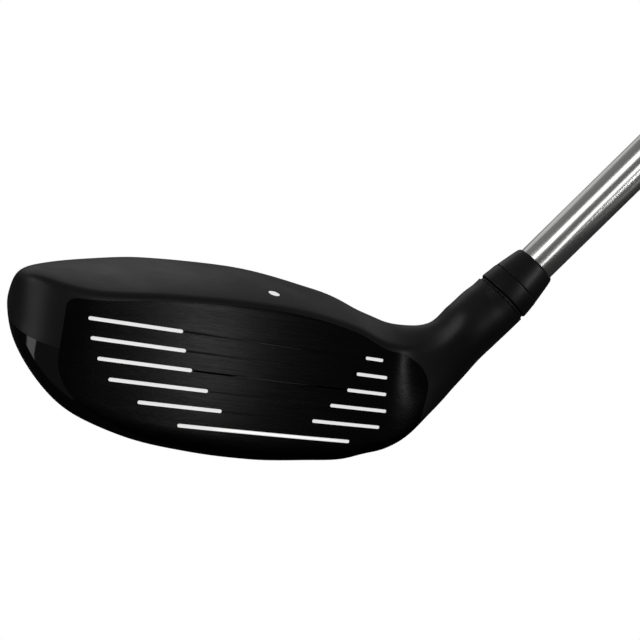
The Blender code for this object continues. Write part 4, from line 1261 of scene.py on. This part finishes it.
cap.data.materials.append(cap_rubber)
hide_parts("grip_cap")
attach(cap, "club_shaft")

# ---------------------------------------------------------------- pieces inside the club
# Small bought-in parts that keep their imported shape: the plug in the shaft's tip, the tape
# under the grip, the washer and spring clip of the hosel's screw, and the pad of tacky resin.


def kept(name, mat):
    """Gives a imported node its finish."""
    materials = frame["nodes"][name].data.materials
    materials.clear()
    materials.append(mat)


kept("tip_plug", turned_finish("turned_brass", (0.52, 0.36, 0.13), (0.68, 0.50, 0.22), 0.3))
kept("screw_washer", turned_finish("plain_washer", (0.38, 0.38, 0.39), (0.52, 0.52, 0.53), 0.28))
kept("screw_clip", turned_finish("spring_steel", (0.10, 0.10, 0.105), (0.17, 0.17, 0.175), 0.36))

tape, tree, shader = finish("paper_tape", (0.58, 0.54, 0.44), 0.88)
fibres = node(
    tree,
    "ShaderNodeTexNoise",
    Vector=node(tree, "ShaderNodeTexCoord").outputs["Object"],
    Scale=1800.0, Detail=6.0,
)
tree.links.new(
    blended(tree, fibres.outputs[0], (0.50, 0.46, 0.36), (0.68, 0.64, 0.54)), shader.inputs["Base Color"]
)
bumped(tree, shader, fibres.outputs[0], 0.05)
kept("grip_tape", tape)

resin, tree, shader = finish("tacky_resin", (0.45, 0.30, 0.12), 0.25, coat=0.5)
clouds = node(
    tree,
    "ShaderNodeTexNoise",
    Vector=node(tree, "ShaderNodeTexCoord").outputs["Object"],
    Scale=700.0, Detail=3.0,
)
tree.links.new(
    blended(tree, clouds.outputs[0], (0.36, 0.22, 0.08), (0.56, 0.42, 0.20)), shader.inputs["Base Color"]
)
bumped(tree, shader, clouds.outputs[0], 0.06)
kept("resin_pad", resin)

# ---------------------------------------------------------------- the studio
# A white sweep stands behind and under the club, and the room in front of it is dim. Soft boxes
# light the head from the face, the toe and the back. Three more light only the bright shaft.

SWEEP_FROM = 0.13
SWEEP_TO = 0.24

world = bpy.data.worlds.new("white_sweep")
bpy.context.scene.world = world
world.use_nodes = True
tree = world.node_tree
tree.nodes.clear()
way = node(tree, "ShaderNodeSeparateXYZ", Vector=node(tree, "ShaderNodeTexCoord").outputs["Generated"])
back = ranged(tree, way.outputs[1], SWEEP_FROM, SWEEP_TO, -0.15, 0.75, smooth=True)
room = node(tree, "ShaderNodeBackground", Strength=back)
plain = node(tree, "ShaderNodeBackground")
plain.inputs["Color"].default_value = (1, 1, 1, 1)
seen = node(tree, "ShaderNodeLightPath").outputs["Is Camera Ray"]
joined = node(tree, "ShaderNodeMixShader", n0=seen, n1=room.outputs[0], n2=plain.outputs[0])
tree.links.new(joined.outputs[0], node(tree, "ShaderNodeOutputWorld").inputs["Surface"])

bm = bmesh.new()
corners = [bm.verts.new((x, y, cad_low.z - 0.0005)) for x, y in ((-3, -3), (3, -3), (3, 3), (-3, 3))]
bm.faces.new(corners)
floor = piece("floor", bm, Matrix.Identity(4))
floor_mat = bpy.data.materials.new("white_paper")
floor_mat.use_nodes = True
tree = floor_mat.node_tree
tree.nodes.clear()
seen = node(tree, "ShaderNodeLightPath").outputs["Is Camera Ray"]
lit = node(tree, "ShaderNodeBsdfDiffuse")
lit.inputs["Color"].default_value = (0.12, 0.12, 0.12, 1)
glow = node(tree, "ShaderNodeEmission", Strength=1.0)
joined = node(tree, "ShaderNodeMixShader", n0=seen, n1=lit.outputs[0], n2=glow.outputs[0])
tree.links.new(joined.outputs[0], node(tree, "ShaderNodeOutputMaterial").inputs["Surface"])
floor.data.materials.append(floor_mat)

face_centre = face_place.translation


def softbox(name, offset, size, power, aim=face_centre):
    """A rectangular area light at an offset from the face's centre, turned towards its aim."""
    light = bpy.data.lights.new(name, "AREA")
    light.shape = "RECTANGLE"
    light.size, light.size_y = size
    light.energy = power
    obj = bpy.data.objects.new(name, light)
    bpy.context.scene.collection.objects.link(obj)
    obj.location = face_centre + Vector(offset)
    obj.rotation_euler = (aim - obj.location).to_track_quat("-Z", "Y").to_euler()
    obj.visible_camera = False
    return obj


shaft_toe_box = softbox("shaft_toe_box", (-1.12, -0.40, 1.06), (0.6, 1.1), 3.9)
shaft_front_box = softbox("shaft_front_box", (-0.21, -1.49, 0.53), (0.3, 1.0), 2.0)
shaft_low_box = softbox("shaft_low_box", (1.2, -0.45, -0.3), (1.4, 1.2), 3.2)
softbox("face_box", (0.33, -1.17, 0.75), (0.14, 0.9), 2.4)
softbox("toe_fill", (-1.3, -0.1, 0.2), (0.8, 0.8), 3.0)
softbox("back_box", (-0.2, 1.75, 0.6), (1.4, 0.8), 1.3)

# The boxes for the bright shaft are flagged off the black pieces.
bright_pieces = bpy.data.collections.new("bright_pieces")
bright_pieces.objects.link(shaft)
for light in (shaft_toe_box, shaft_front_box, shaft_low_box):
    light.light_linking.receiver_collection = bright_pieces

# ---------------------------------------------------------------- the camera
# It looks down on the face from in front and above, a little from the toe side.

CAMERA_FROM_FACE = Vector((-75.45, -160.84, 81.35)) * MM
CAMERA_RIGHT = Vector((0.8856, -0.3482, 0.3074))
CAMERA_FORWARD = Vector((0.4416, 0.8363, -0.3250))
LENS = 50.625

camera = bpy.data.objects.new("camera", bpy.data.cameras.new("camera"))
bpy.context.scene.collection.objects.link(camera)
forward = CAMERA_FORWARD.normalized()
right = (CAMERA_RIGHT - CAMERA_RIGHT.dot(forward) * forward).normalized()
up = right.cross(forward)
turn = Matrix((right, up, -forward)).transposed()
camera.matrix_world = Matrix.Translation(face_centre + CAMERA_FROM_FACE) @ turn.to_4x4()
camera.data.lens = LENS
camera.data.sensor_width = 36.0
camera.data.clip_start = 0.01
bpy.context.scene.camera = camera
bpy.context.scene.view_settings.view_transform = "Standard"
